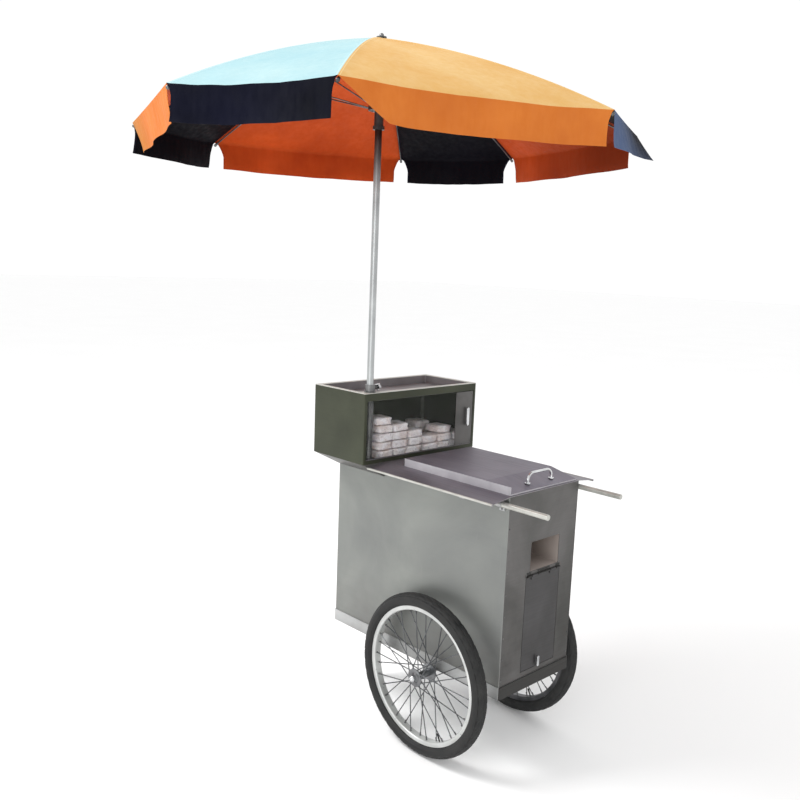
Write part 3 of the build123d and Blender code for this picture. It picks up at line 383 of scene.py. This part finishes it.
node_finish = {
    "skin": ["body_shell"],
    "dark": ["rear_panel", "riser"],
    "door": ["rear_door"],
    "bin": ["cubby_liner"],
    "box": ["box_shell"],
    "deck": ["deck", "door_tracks"],
    "lid": ["lid"],
    "frame": ["base_frame", "axle_saddles", "handle_brackets", "prop_leg", "door_hinge"],
    "tray": ["top_tray"],
    "pan": ["water_pan", "food_pans"],
    "chrome": ["lid_handle", "door_pull", "axle_nuts", "clamp_screw", "door_latch"],
    "handle": ["push_handles"],
    "rim": ["rim_near"],
    "spoke": ["spokes_near"],
    "far_wheel": ["rim_far", "spokes_far"],
    "hub": ["hub_near", "hub_far"],
    "zinc": ["axle", "crown", "runner", "umbrella_socket"],
    "pole": ["pole"],
    "knob": ["gas_knob"],
    "gas": ["gas_cylinder"],
    "copper": ["gas_pipe"],
    "iron": ["burner"],
    "pane": ["door_inner"],
}
for number in range(1, rib_count + 1):
    node_finish["zinc"] += [f"rib_{number}", f"stretcher_{number}"]
for key, names in node_finish.items():
    for name in names:
        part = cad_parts[name]
        part.data.materials.clear()
        part.data.materials.append(finish[key])


# ---------------------------------------------------------------- mesh helpers
def keep_mesh(name, form, materials, body, smooth=True):
    """Turns a bmesh into a piece that rides on a CAD body."""
    data = bpy.data.meshes.new(name)
    form.to_mesh(data)
    form.free()
    for material in materials:
        data.materials.append(material)
    data.polygons.foreach_set("use_smooth", [smooth] * len(data.polygons))
    piece = bpy.data.objects.new(name, data)
    bpy.context.scene.collection.objects.link(piece)
    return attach(piece, body)


def ring_wall(form, lower, upper, material=0):
    count = len(lower)
    for i in range(count):
        face = form.faces.new((lower[i], lower[(i + 1) % count], upper[(i + 1) % count], upper[i]))
        face.material_index = material


def turned(form, profile, steps, at, axis="z", closed=False):
    """Revolves (radius, height) points round an axis through at."""
    rings = []
    for radius, height in profile:
        ring = []
        for i in range(steps):
            angle = 2 * math.pi * i / steps
            across, along = radius * math.cos(angle), radius * math.sin(angle)
            if axis == "z":
                offset = Vector((across, along, height))
            elif axis == "y":
                offset = Vector((along, height, across))
            else:
                offset = Vector((height, across, along))
            ring.append(form.verts.new(at + offset))
        rings.append(ring)
    for lower, upper in zip(rings, rings[1:]):
        ring_wall(form, lower, upper)
    if closed:
        ring_wall(form, rings[-1], rings[0])
    else:
        form.faces.new(list(reversed(rings[0])))
        form.faces.new(rings[-1])


def sharpen(piece, angle=math.radians(35)):
    form = bmesh.new()
    form.from_mesh(piece.data)
    for edge in form.edges:
        edge.smooth = len(edge.link_faces) == 2 and edge.calc_face_angle(0) < angle
    form.to_mesh(piece.data)
    form.free()


# ---------------------------------------------------------------- canopy
rib_angles = [math.radians(first_rib + 45 * i + wide_narrow * (1 if i % 2 else -1)) for i in range(rib_count)]
seam_steps = (0.0, 0.0025, 0.006, 0.011)
side_steps = 12
run_steps = 26
drop_steps = 9


taut_panels = (0, 3)


def profile(share):
    """Radius and height of the sheet over a rib, from the apex at 0 to the rim at 1."""
    past = 1 - share
    radius = canopy_hole * past ** 2 + canopy_over[0] * 2 * share * past + canopy_r * share ** 2
    height = canopy_apex * past ** 2 + canopy_over[1] * 2 * share * past + canopy_z * share ** 2
    return radius, height


def panel_span(index):
    return (rib_angles[(index + 1) % rib_count] - rib_angles[index]) % (2 * math.pi)


def panel_point(index, share, across):
    """A point on panel index: across runs from its first rib at 0 to its second at 1."""
    radius, height = profile(share)
    span = panel_span(index)
    middle = rib_angles[index] + span / 2
    half = radius * math.sin(span / 2)
    reach = radius * math.cos(span / 2)
    bow = 4 * across * (1 - across)
    seed = Vector((across * 5.0, share * 4.0, index * 7.3))
    puff = 0.0035 * noise.noise(seed) + 0.002 * noise.noise(seed * 2.7)
    # taut folds run up from the corners, where the rib pulls the cloth
    corner = math.exp(-6 * min(across, 1 - across)) * share ** 3
    pull = 0.003 * math.sin(26 * share - 9 * across * (1 - across) * 4) * corner
    sag = (0.016 * share * (1 - 0.35 * share) + puff * share + pull) * bow
    edge = 0.016 * bow * share ** 8
    if index in taut_panels:
        sag *= 1 - 0.85 * share ** 4
        edge = 0.0
    along = (2 * across - 1) * half
    inward = reach - 0.45 * sag - edge
    return Vector((
        inward * math.cos(middle) - along * math.sin(middle),
        inward * math.sin(middle) + along * math.cos(middle),
        height - 0.9 * sag,
    ))


def notch(index, fall, last):
    """How far a valance's end stands in from its rib, in metres: a slit, or a rounded notch at the worn ribs."""
    rib = (index + 1) % rib_count if last else index
    if rib in worn_ribs:
        return 0.006 + 0.034 * min(1.0, fall * 2.0) ** 0.6
    opening = 0.006 + 0.012 * min(1.0, fall * 3)
    if index == curled_panel and not last:
        opening += 0.145 * fall ** 1.5
    return opening


worn_ribs = (4, 5, 6, 7)
flared_panel = 3
tucked_panel = 0
curled_panel = 2
narrow_turn = 0.5


def valance_point(index, fall, across, last):
    """A point on the flap that hangs from panel index's rim. fall runs down it from 0 to 1."""
    span = panel_span(index)
    half = canopy_r * math.sin(span / 2)
    opening = min(0.9, notch(index, fall, last) / half) / 2
    moved = across + (opening * (1 - 2 * across) if not last else -opening * (2 * across - 1))
    top = panel_point(index, 1.0, moved)
    middle = rib_angles[index] + span / 2
    out = Vector((math.cos(middle), math.sin(middle), 0))
    end = min(moved, 1 - moved) * 2
    wave = 0.006 * math.sin(moved * (15 if span > narrow_turn * 1.4 else 9) + index * 1.7) * fall
    flutter = 0.005 * noise.noise(Vector((moved * 6, fall * 1.4, index * 3.1))) * fall
    flare = 0.004 * fall * fall
    lift = 0.0
    if index == curled_panel and not last:
        curl = max(0.0, 1 - moved * 3.4) ** 2 * fall
        flare += 0.045 * curl
        lift = 0.030 * curl
    hem = 0.0012 if fall > 0.9 else 0.0
    if index == flared_panel:
        flare += 0.062 * moved * fall
        lift += 0.020 * moved * fall
    if index == tucked_panel:
        flare -= 0.045 * fall * (1 - 0.6 * moved)
    flare += 0.012 * (1 - end) ** 3 * fall * (0.4 if index % 2 else -0.6)
    return top + out * (wave + flutter + flare + hem) + Vector((0, 0, lift - valance_drop * fall))


def half_columns(half):
    """Shares of a half panel's width, from the rib to the mid-line, close together at the seam."""
    squeeze = min(1.0, half / 0.05)
    metric = [step * squeeze for step in seam_steps]
    rest = half - metric[-1]
    ends = [metric[-1] + rest * (i / side_steps) for i in range(1, side_steps + 1)]
    return [d / half / 2 for d in metric + ends]


def canopy_segment(rib):
    """The cloth centred on one rib: half of the panel before it and half of the panel after it."""
    before, after = (rib - 1) % rib_count, rib
    form = bmesh.new()
    flat = form.loops.layers.uv.new("UVMap")
    measure = {}
    hue = (0 if before % 2 else 1, 0 if after % 2 else 1)
    shares = [(i / run_steps) ** 0.85 for i in range(run_steps + 1)]
    # the flat measure: distance from the rib's seam and along it
    length = [0.0]
    for low, high in zip(shares, shares[1:]):
        (r0, z0), (r1, z1) = profile(low), profile(high)
        length.append(length[-1] + math.hypot(r1 - r0, z1 - z0))
    rows = []
    for i, share in enumerate(shares):
        radius, _ = profile(share)
        row = []
        for side, index in ((-1, before), (1, after)):
            half = radius * math.sin(panel_span(index) / 2)
            columns = half_columns(half)
            line = []
            for k, part in enumerate(columns):
                if side > 0 and k == 0:
                    continue
                across = 1 - part if side < 0 else part
                place = panel_point(index, share, across)
                # the felled seam stands proud along the rib
                place.z += 0.0009 if k < 3 else 0.0
                vert = form.verts.new(place)
                measure[vert] = (side * 2 * part * half, length[i])
                line.append(vert)
            row += list(reversed(line)) if side < 0 else line
        rows.append(row)
    width = len(rows[0])
    centre = len(seam_steps) + side_steps - 1
    for lower, upper in zip(rows, rows[1:]):
        for j in range(width - 1):
            face = form.faces.new((lower[j], upper[j], upper[j + 1], lower[j + 1]))
            face.material_index = hue[0] if j < centre else hue[1]
    # each flap hangs from the rim and is slit at the rib
    flap_steps = len(seam_steps) + side_steps - 1
    for side, index, colour in ((-1, before, 2 + hue[0]), (1, after, 2 + hue[1])):
        half = canopy_r * math.sin(panel_span(index) / 2)
        parts = half_columns(half)
        previous = rows[-1][:centre + 1] if side < 0 else rows[-1][centre:]
        for down in range(1, drop_steps + 1):
            fall = 0.06 if down == 1 else (0.06 + 0.94 * ((down - 1) / (drop_steps - 1)))
            line = []
            for part in parts:
                across = 1 - part if side < 0 else part
                vert = form.verts.new(valance_point(index, fall, across, side < 0))
                measure[vert] = (side * 2 * part * half, length[-1] + fall * valance_drop)
                line.append(vert)
            if side < 0:
                line.reverse()
            for j in range(flap_steps):
                face = form.faces.new((previous[j], line[j], line[j + 1], previous[j + 1]))
                face.material_index = colour
            previous = line
    form.normal_update()
    for face in form.faces:
        for loop in face.loops:
            loop[flat].uv = measure[loop.vert]
    # the inner side of the cloth, a thread's thickness away, and the cut edges between the two
    mid_lines = [rib_angles[before] + panel_span(before) / 2, rib_angles[after] + panel_span(after) / 2]
    edge_normals = {}
    for row in rows:
        for vert, angle in ((row[0], mid_lines[0]), (row[-1], mid_lines[1])):
            turn = Vector((-math.sin(angle), math.cos(angle), 0))
            edge_normals[vert] = (vert.normal - turn * vert.normal.dot(turn)).normalized()
    inner = {}
    outer_faces = list(form.faces)
    outer_verts = list(form.verts)
    for vert in outer_verts:
        inner[vert] = form.verts.new(vert.co - edge_normals.get(vert, vert.normal) * cloth)
        measure[inner[vert]] = measure[vert]
    rims = [edge for edge in form.edges if len(edge.link_faces) == 1]
    for face in outer_faces:
        back = form.faces.new([inner[vert] for vert in reversed(face.verts)])
        back.material_index = 4 + face.material_index % 2
        for loop in back.loops:
            loop[flat].uv = measure[loop.vert]
    for edge in rims:
        loop = edge.link_loops[0]
        first, second = loop.vert, loop.link_loop_next.vert
        face = form.faces.new((second, first, inner[first], inner[second]))
        face.material_index = loop.face.material_index
        for corner in face.loops:
            corner[flat].uv = measure[corner.vert]
        for side in face.edges:
            side.smooth = False
    for vert in rows[-1]:
        for edge in vert.link_edges:
            if edge.other_vert(vert) in rows[-1]:
                edge.smooth = False
    # outer faces take the painted-lit top copies and the flap colours; inner faces take the painted-shade inside copies
    colours = ["blue_top", "orange_top", "blue_edge", "orange_edge", "blue_in", "orange_in"]
    number = rib + 1
    piece = keep_mesh(f"canopy_segment_{number}", form, [finish[c] for c in colours], f"rib_{number}")
    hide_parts("canopy")
    angle = rib_angles[rib]
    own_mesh(piece)
    return piece


for rib in range(rib_count):
    canopy_segment(rib)


# ---- caps sewn over the rib tips
def tip_cap(rib):
    angle = rib_angles[rib]
    form = bmesh.new()
    shape = ((0.0035, -0.016), (0.0052, -0.012), (0.0056, 0.0), (0.0062, 0.004), (0.0066, 0.0065), (0.0058, 0.0095),
             (0.0030, 0.0115))
    turned(form, shape, 14, Vector((0, 0, 0)), axis="x")
    slope = math.atan2(canopy_z - canopy_over[1], canopy_r - canopy_over[0])
    form.transform(
        Matrix.Translation((rib_reach * math.cos(angle), rib_reach * math.sin(angle), tip_z))
        @ Matrix.Rotation(angle, 4, "Z")
        @ Matrix.Rotation(-slope, 4, "Y")
    )
    piece = keep_mesh(f"rib_cap_{rib + 1}", form, [finish["zinc"]], f"rib_{rib + 1}")


for rib in range(rib_count):
    tip_cap(rib)


# ---------------------------------------------------------------- tyres
around = 264
tread_half = math.radians(52)


def tyre(side, body):
    """Balloon tyre: a block tread over the crown, a ribbed shoulder and a bead that sits in the rim."""
    low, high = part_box("tyre_" + side)
    centre = (low + high) / 2
    form = bmesh.new()
    middle = wheel_outer - tyre_high
    steps = 60
    open_angle = math.acos((rim_seat - middle) / tyre_high) - 0.02
    rings = []
    for k in range(steps + 1):
        angle = -open_angle + 2 * open_angle * k / steps
        ring = []
        for i in range(around):
            turn = 2 * math.pi * i / around
            radius = middle + tyre_high * math.cos(angle)
            out = tyre_half * math.sin(angle)
            cut = 0.0
            if abs(angle) < tread_half:
                lane = int((angle + tread_half) / (2 * tread_half) * 7)
                within = (angle + tread_half) / (2 * tread_half) * 7 - lane
                block = (i + 2 * (lane % 2)) % 6
                cut = 0.0022 if within < 0.22 or block < 1 else 0.0
            elif abs(angle) < tread_half + 0.3:
                cut = 0.0014 if (i % 6) < 2 else 0.0
            elif abs(abs(angle) - 1.95) < 0.05:
                cut = -0.0009
            radius -= cut * math.cos(angle)
            out -= cut * math.sin(angle)
            ring.append(form.verts.new(centre + Vector((radius * math.cos(turn), out, radius * math.sin(turn)))))
        rings.append(ring)
    inside = []
    for k in (1, 0):
        angle = (2 * k - 1) * open_angle
        wall = []
        for i in range(around):
            turn = 2 * math.pi * i / around
            radius = middle + (tyre_high - 0.004) * math.cos(angle)
            out = (tyre_half - 0.006) * math.sin(angle)
            wall.append(form.verts.new(centre + Vector((radius * math.cos(turn), out, radius * math.sin(turn)))))
        inside.append(wall)
    for lower, upper in zip(rings, rings[1:]):
        ring_wall(form, upper, lower)
    ring_wall(form, inside[0], rings[-1])
    ring_wall(form, inside[1], inside[0])
    ring_wall(form, rings[0], inside[1])
    bmesh.ops.recalc_face_normals(form, faces=form.faces)
    piece = keep_mesh("tyre_tread_" + side, form, [finish["rubber"]], body)
    sharpen(piece, math.radians(28))
    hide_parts("tyre_" + side)
    return centre


def wheel_fittings(side, centre, body, outward):
    """Nipples where the spokes enter the rim, and the valve."""
    form = bmesh.new()
    for i in range(spoke_count):
        turn = 2 * math.pi * i / spoke_count
        shape = ((0.0024, 0.2485), (0.0029, 0.2492), (0.0029, 0.2610), (0.0040, 0.2618), (0.0040, 0.2632))
        part = bmesh.new()
        turned(part, shape, 10, Vector((0, 0, 0)), axis="x")
        flange = hub_flange if i % 2 else -hub_flange
        part.transform(
            Matrix.Translation(centre)
            @ Matrix.Rotation(-turn, 4, "Y")
            @ Matrix.Translation((0, flange / spoke_lean, 0))
        )
        data = bpy.data.meshes.new("part")
        part.to_mesh(data)
        part.free()
        form.from_mesh(data)
        bpy.data.meshes.remove(data)
    piece = keep_mesh("spoke_nipples_" + side, form, [finish["zinc"]], body)
    form = bmesh.new()
    stem = ((0.0030, 0.2640), (0.0030, 0.2440), (0.0036, 0.2435), (0.0040, 0.2330), (0.0030, 0.2310))
    turned(form, [(r, h) for r, h in reversed(stem)], 14, Vector((0, 0, 0)), axis="x")
    form.transform(Matrix.Translation(centre) @ Matrix.Rotation(math.radians(valve_turn), 4, "Y"))
    piece = keep_mesh("valve_" + side, form, [finish["rubber"]], body)


valve_turn = 65.0
for side, outward in (("near", -1), ("far", 1)):
    hub = tyre(side, "wheel_" + side)
    wheel_fittings(side, hub, "wheel_" + side, outward)
    low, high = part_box("axle_nuts")
    end = low.y if outward < 0 else high.y
    form = bmesh.new()
    dome = [(0.0122, 0.0), (0.0122, 0.0016), (0.0112, 0.0018), (0.0110, 0.0040), (0.0096, 0.0064), (0.0064, 0.0082),
            (0.0020, 0.0088)]
    turned(form, dome, 28, Vector((0, 0, 0)), axis="y")
    form.transform(
        Matrix.Translation((hub.x, end + 0.0006 * outward, hub.z)) @ Matrix.Rotation(math.pi if outward < 0 else 0, 4, "Z")
    )
    bmesh.ops.recalc_face_normals(form, faces=form.faces)
    piece = keep_mesh("axle_cap_" + side, form, [finish["chrome"]], "cart")


# ---------------------------------------------------------------- wrapped goods in the display box
stack_layers = (4, 5, 4, 3, 2, 3, 2)
stack_pitch = 0.090
stack_y = mid_y - 0.322 + 0.047
stack_rows = (-0.044, -0.178)
pole_shift = 0.031
pack_size = Vector((0.095, 0.085, 0.036))


def bun_pack(form, centre, seed, lean, tilt):
    """One wrapped pack: two rounded buns side by side in film that is gathered at both ends."""
    part = bmesh.new()
    bmesh.ops.create_cube(part, size=1.0)
    bmesh.ops.subdivide_edges(part, edges=part.edges, cuts=9, use_grid_fill=True)
    for vert in part.verts:
        x, y, z = vert.co * 2
        # rounded plan, domed top and a soft dip between the buns
        plan = max(abs(x), abs(y)) / max(1e-6, math.hypot(x, y)) if abs(x) + abs(y) > 0 else 1
        round_off = 1 - 0.16 * (1 - plan) * (1 - 0.5 * abs(z))
        dome = 1 - 0.30 * max(x * x, y * y) ** 2
        dip = 0.16 * math.exp(-(y / 0.16) ** 2) * (1 - x * x) * (1 if z > 0 else 0)
        pinch = 1 - 0.22 * max(0.0, abs(x) - 0.75) * 4 * (1 - abs(z) * 0.4)
        place = Vector((
            x * pack_size.x / 2 * round_off,
            y * pack_size.y / 2 * round_off * pinch,
            z * pack_size.z / 2 * dome * (1 - dip),
        ))
        rough = noise.noise(place * 60 + Vector((seed * 3.7, seed, 0)))
        fine = noise.noise(place * 170 + Vector((0, seed * 2.1, seed)))
        vert.co = place * (1 + 0.085 * rough + 0.05 * fine)
    part.transform(Matrix.Translation(centre) @ Matrix.Rotation(lean, 4, "Z") @ Matrix.Rotation(tilt, 4, "X"))
    data = bpy.data.meshes.new("part")
    part.to_mesh(data)
    part.free()
    form.from_mesh(data)
    bpy.data.meshes.remove(data)


def wrapped_goods():
    low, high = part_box("wrapped_stock")
    form = bmesh.new()
    count = 0
    for row, x in enumerate(stack_rows):
        for column, layers in enumerate(stack_layers):
            y = stack_y + column * stack_pitch
            place_x = x - pole_shift if row == 0 and y < 0.060 else x
            for layer in range(layers):
                count += 1
                jitter = noise.noise_vector(Vector((count * 1.3, row * 5.1, column * 2.2)))
                centre = Vector((
                    place_x + 0.009 * jitter.x,
                    y + 0.008 * jitter.y,
                    low.z + pack_size.z * (layer + 0.5),
                ))
                bun_pack(form, centre, count, 0.45 * jitter.z, 0.16 * jitter.x)
    for vert in form.verts:
        vert.co.x = min(max(vert.co.x, low.x), high.x)
        vert.co.y = min(max(vert.co.y, low.y), high.y)
        vert.co.z = min(max(vert.co.z, low.z), high.z)
    piece = keep_mesh("wrapped_packs", form, [finish["film"]], "cart")
    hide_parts("wrapped_stock")


wrapped_goods()


# ---------------------------------------------------------------- sheet-metal details
def slab(form, low, high, ease=0.0012):
    """A plate with its edges eased."""
    part = bmesh.new()
    bmesh.ops.create_cube(part, size=1.0)
    for vert in part.verts:
        vert.co = Vector((low[i] + (vert.co[i] + 0.5) * (high[i] - low[i]) for i in range(3)))
    thin = min(high[i] - low[i] for i in range(3))
    bmesh.ops.bevel(part, geom=part.edges[:], offset=min(ease, thin * 0.3), segments=2, affect="EDGES")
    data = bpy.data.meshes.new("part")
    part.to_mesh(data)
    part.free()
    form.from_mesh(data)
    bpy.data.meshes.remove(data)


def rivet(form, at, facing, radius=0.0032):
    """A domed rivet head on a face that looks along facing."""
    part = bmesh.new()
    shape = [(radius, 0.0), (radius * 0.94, radius * 0.28), (radius * 0.72, radius * 0.5), (radius * 0.3, radius * 0.62)]
    turned(part, shape, 12, Vector((0, 0, 0)))
    part.transform(Matrix.Translation(at) @ Vector(facing).to_track_quat("Z", "Y").to_matrix().to_4x4())
    data = bpy.data.meshes.new("part")
    part.to_mesh(data)
    part.free()
    form.from_mesh(data)
    bpy.data.meshes.remove(data)


# the outer sliding door: its clear pane and the folded steel stile that carries the pull
door_low, door_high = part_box("door_outer")
pane_thick = 0.0025
stile_wide = 0.112
stile_low = 1.1445
stile_high = 1.3845
stile_end = 0.0005
window_far = mid_y + 0.322
form = bmesh.new()
slab(form, (door_low.x, door_low.y, door_low.z), (door_low.x + pane_thick, door_high.y, door_high.z), 0.0006)
pane = keep_mesh("door_outer_pane", form, [finish["pane"]], "box_door_outer", False)
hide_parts("door_outer")
form = bmesh.new()
face_x = door_low.x + pane_thick
stile_y = window_far - stile_end - stile_wide
slab(form, (face_x, stile_y, stile_low), (face_x + 0.001, window_far - stile_end, stile_high), 0.0004)
for y in (stile_y + 0.008, window_far - stile_end - 0.008):
    for z in (stile_low + 0.012, stile_high - 0.012):
        rivet(form, Vector((face_x + 0.001, y, z)), (1, 0, 0))
stile = keep_mesh("door_stile", form, [finish["dark"]], "box_door_outer", False)
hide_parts("door_outer")

# rivets along the rear panel's turned edges and the door's hinge leaf
panel_low, panel_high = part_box("rear_panel")
cabinet_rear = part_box("body_shell")[1].x
form = bmesh.new()
rivet_pitch = 0.085
rows = int((panel_high.z - panel_low.z - 0.04) / rivet_pitch)
for i in range(rows + 1):
    z = panel_low.z + 0.024 + i * rivet_pitch
    for y in (panel_low.y + 0.007, panel_high.y - 0.007):
        rivet(form, Vector((panel_high.x, y, z)), (1, 0, 0))
hinge_low, hinge_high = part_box("door_hinge")
hinge_y = (hinge_low.y + hinge_high.y) / 2
for y in (-0.090, -0.028, 0.028, 0.090):
    rivet(form, Vector((cabinet_rear + 0.001, hinge_y + y, hinge_high.z - 0.005)), (1, 0, 0), 0.0022)
piece = keep_mesh("panel_rivets", form, [finish["zinc"]], "cart")

# screws that hold the handles' clamps to the cabinet
form = bmesh.new()
clamp_low, clamp_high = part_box("handle_brackets")
cabinet_low, cabinet_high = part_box("body_shell")
for x in (0.472, 0.672):
    for side, y in ((-1, cabinet_low.y - 0.003), (1, cabinet_high.y + 0.003)):
        for z in (1.0735, 1.1045):
            if z < 1.09:
                rivet(form, Vector((x, y, z)), (0, side, 0), 0.0036)
piece = keep_mesh("clamp_screws", form, [finish["zinc"]], "cart")

# bright half-round trims over the beads of the deck's side wings
deck_low, deck_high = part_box("deck")
bead = 0.0040
trim_grip = 0.0005
trim_x = (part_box("box_shell")[1].x + 0.001, cabinet_rear - 0.0005)
form = bmesh.new()
for y in (deck_low.y + bead, deck_high.y - bead):
    turned(form, [(bead + trim_grip, trim_x[0]), (bead + trim_grip, trim_x[1])], 20, Vector((0, y, 1.110)), axis="x")
piece = keep_mesh("deck_trims", form, [finish["handle"]], "cart")
sharpen(piece)

# standing cheek that carries the lid's near skirt on at full height beside the rear slope
lid_low, lid_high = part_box("lid")
lid_crease = 0.572
lid_edge = 1.131
cheek_thick = 0.0015
bite = 0.0020
outline = [(lid_crease - 0.010, lid_high.z - 0.0004), (lid_high.x, lid_high.z - 0.0004), (lid_high.x, lid_edge - bite),
           (lid_crease, lid_high.z - bite)]
form = bmesh.new()
sides = []
for y in (lid_low.y - 0.0004, lid_low.y + cheek_thick):
    sides.append([form.verts.new((x, y, z)) for x, z in outline])
ring_wall(form, sides[0], sides[1])
form.faces.new(list(reversed(sides[0])))
form.faces.new(sides[1])
bmesh.ops.recalc_face_normals(form, faces=form.faces)
piece = keep_mesh("lid_cheek", form, [finish["lid"]], "lid", False)

# burner ports: two rows of small holes along each tube, seen as dark rings
burner_low, burner_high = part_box("burner")
tube_top = burner_high.z
form = bmesh.new()
for side in (-1, 1):
    for i in range(22):
        x = burner_low.x + 0.034 + i * 0.0142
        for lean in (-0.35, 0.35):
            part = bmesh.new()
            turned(part, [(0.0021, 0.0), (0.0021, 0.0006), (0.0012, 0.0006), (0.0010, 0.0001)], 10, Vector((0, 0, 0.011)))
            part.transform(
                Matrix.Translation((x, mid_y + side * 0.080, tube_top - 0.011)) @ Matrix.Rotation(lean, 4, "X")
            )
            data = bpy.data.meshes.new("part")
            part.to_mesh(data)
            part.free()
            form.from_mesh(data)
            bpy.data.meshes.remove(data)
piece = keep_mesh("burner_ports", form, [finish["iron"]], "cart")

# ribbed rubber pad under the prop leg's foot
foot_low, foot_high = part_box("prop_leg")
form = bmesh.new()
pad_x = (foot_low.x + foot_high.x) / 2
for i in range(7):
    x = foot_low.x + 0.004 + i * (foot_high.x - foot_low.x - 0.008) / 6
    slab(form, (x - 0.0022, foot_low.y + 0.002, foot_high.z * 0), (x + 0.0022, foot_high.y - 0.002, 0.0035), 0.0006)
piece = keep_mesh("foot_treads", form, [finish["rubber"]], "prop_leg", False)


# ---------------------------------------------------------------- floor and light
def floor():
    form = bmesh.new()
    reach = 60.0
    corners = [form.verts.new((x, y, 0.0)) for x, y in ((-reach, -reach), (reach, -reach), (reach, reach), (-reach, reach))]
    form.faces.new(corners)
    data = bpy.data.meshes.new("floor")
    form.to_mesh(data)
    form.free()
    material, tree, shader = start("floor", Roughness=0.9, Specular_IOR_Level=0.1)
    base = between(tree, grain(tree, 0.8, detail=2.0), tone(252, 252, 252), tone(248, 248, 248))
    tree.links.new(base, shader.inputs["Base Color"])
    data.materials.append(material)
    made = bpy.data.objects.new("floor", data)
    bpy.context.scene.collection.objects.link(made)


def soft_light(name, at, aim, size, power, colour=(1, 1, 1)):
    data = bpy.data.lights.new(name, "AREA")
    data.size = size
    data.energy = power
    data.color = colour
    made = bpy.data.objects.new(name, data)
    made.matrix_world = Matrix.Translation(at) @ (Vector(aim) - Vector(at)).to_track_quat("-Z", "Y").to_matrix().to_4x4()
    bpy.context.scene.collection.objects.link(made)


floor()
world = bpy.data.worlds.new("studio")
world.use_nodes = True
world.node_tree.nodes["Background"].inputs["Color"].default_value = (1.0, 1.0, 1.0, 1)
world.node_tree.nodes["Background"].inputs["Strength"].default_value = 1.03
bpy.context.scene.world = world
bpy.context.scene.view_settings.view_transform = "Standard"
soft_light("key", (-2.4, -3.2, 6.2), (0.2, 0.2, 1.0), 2.4, 300)
soft_light("fill", (2.5, -5.0, 2.2), (0.3, 0.2, 1.0), 3.0, 60)
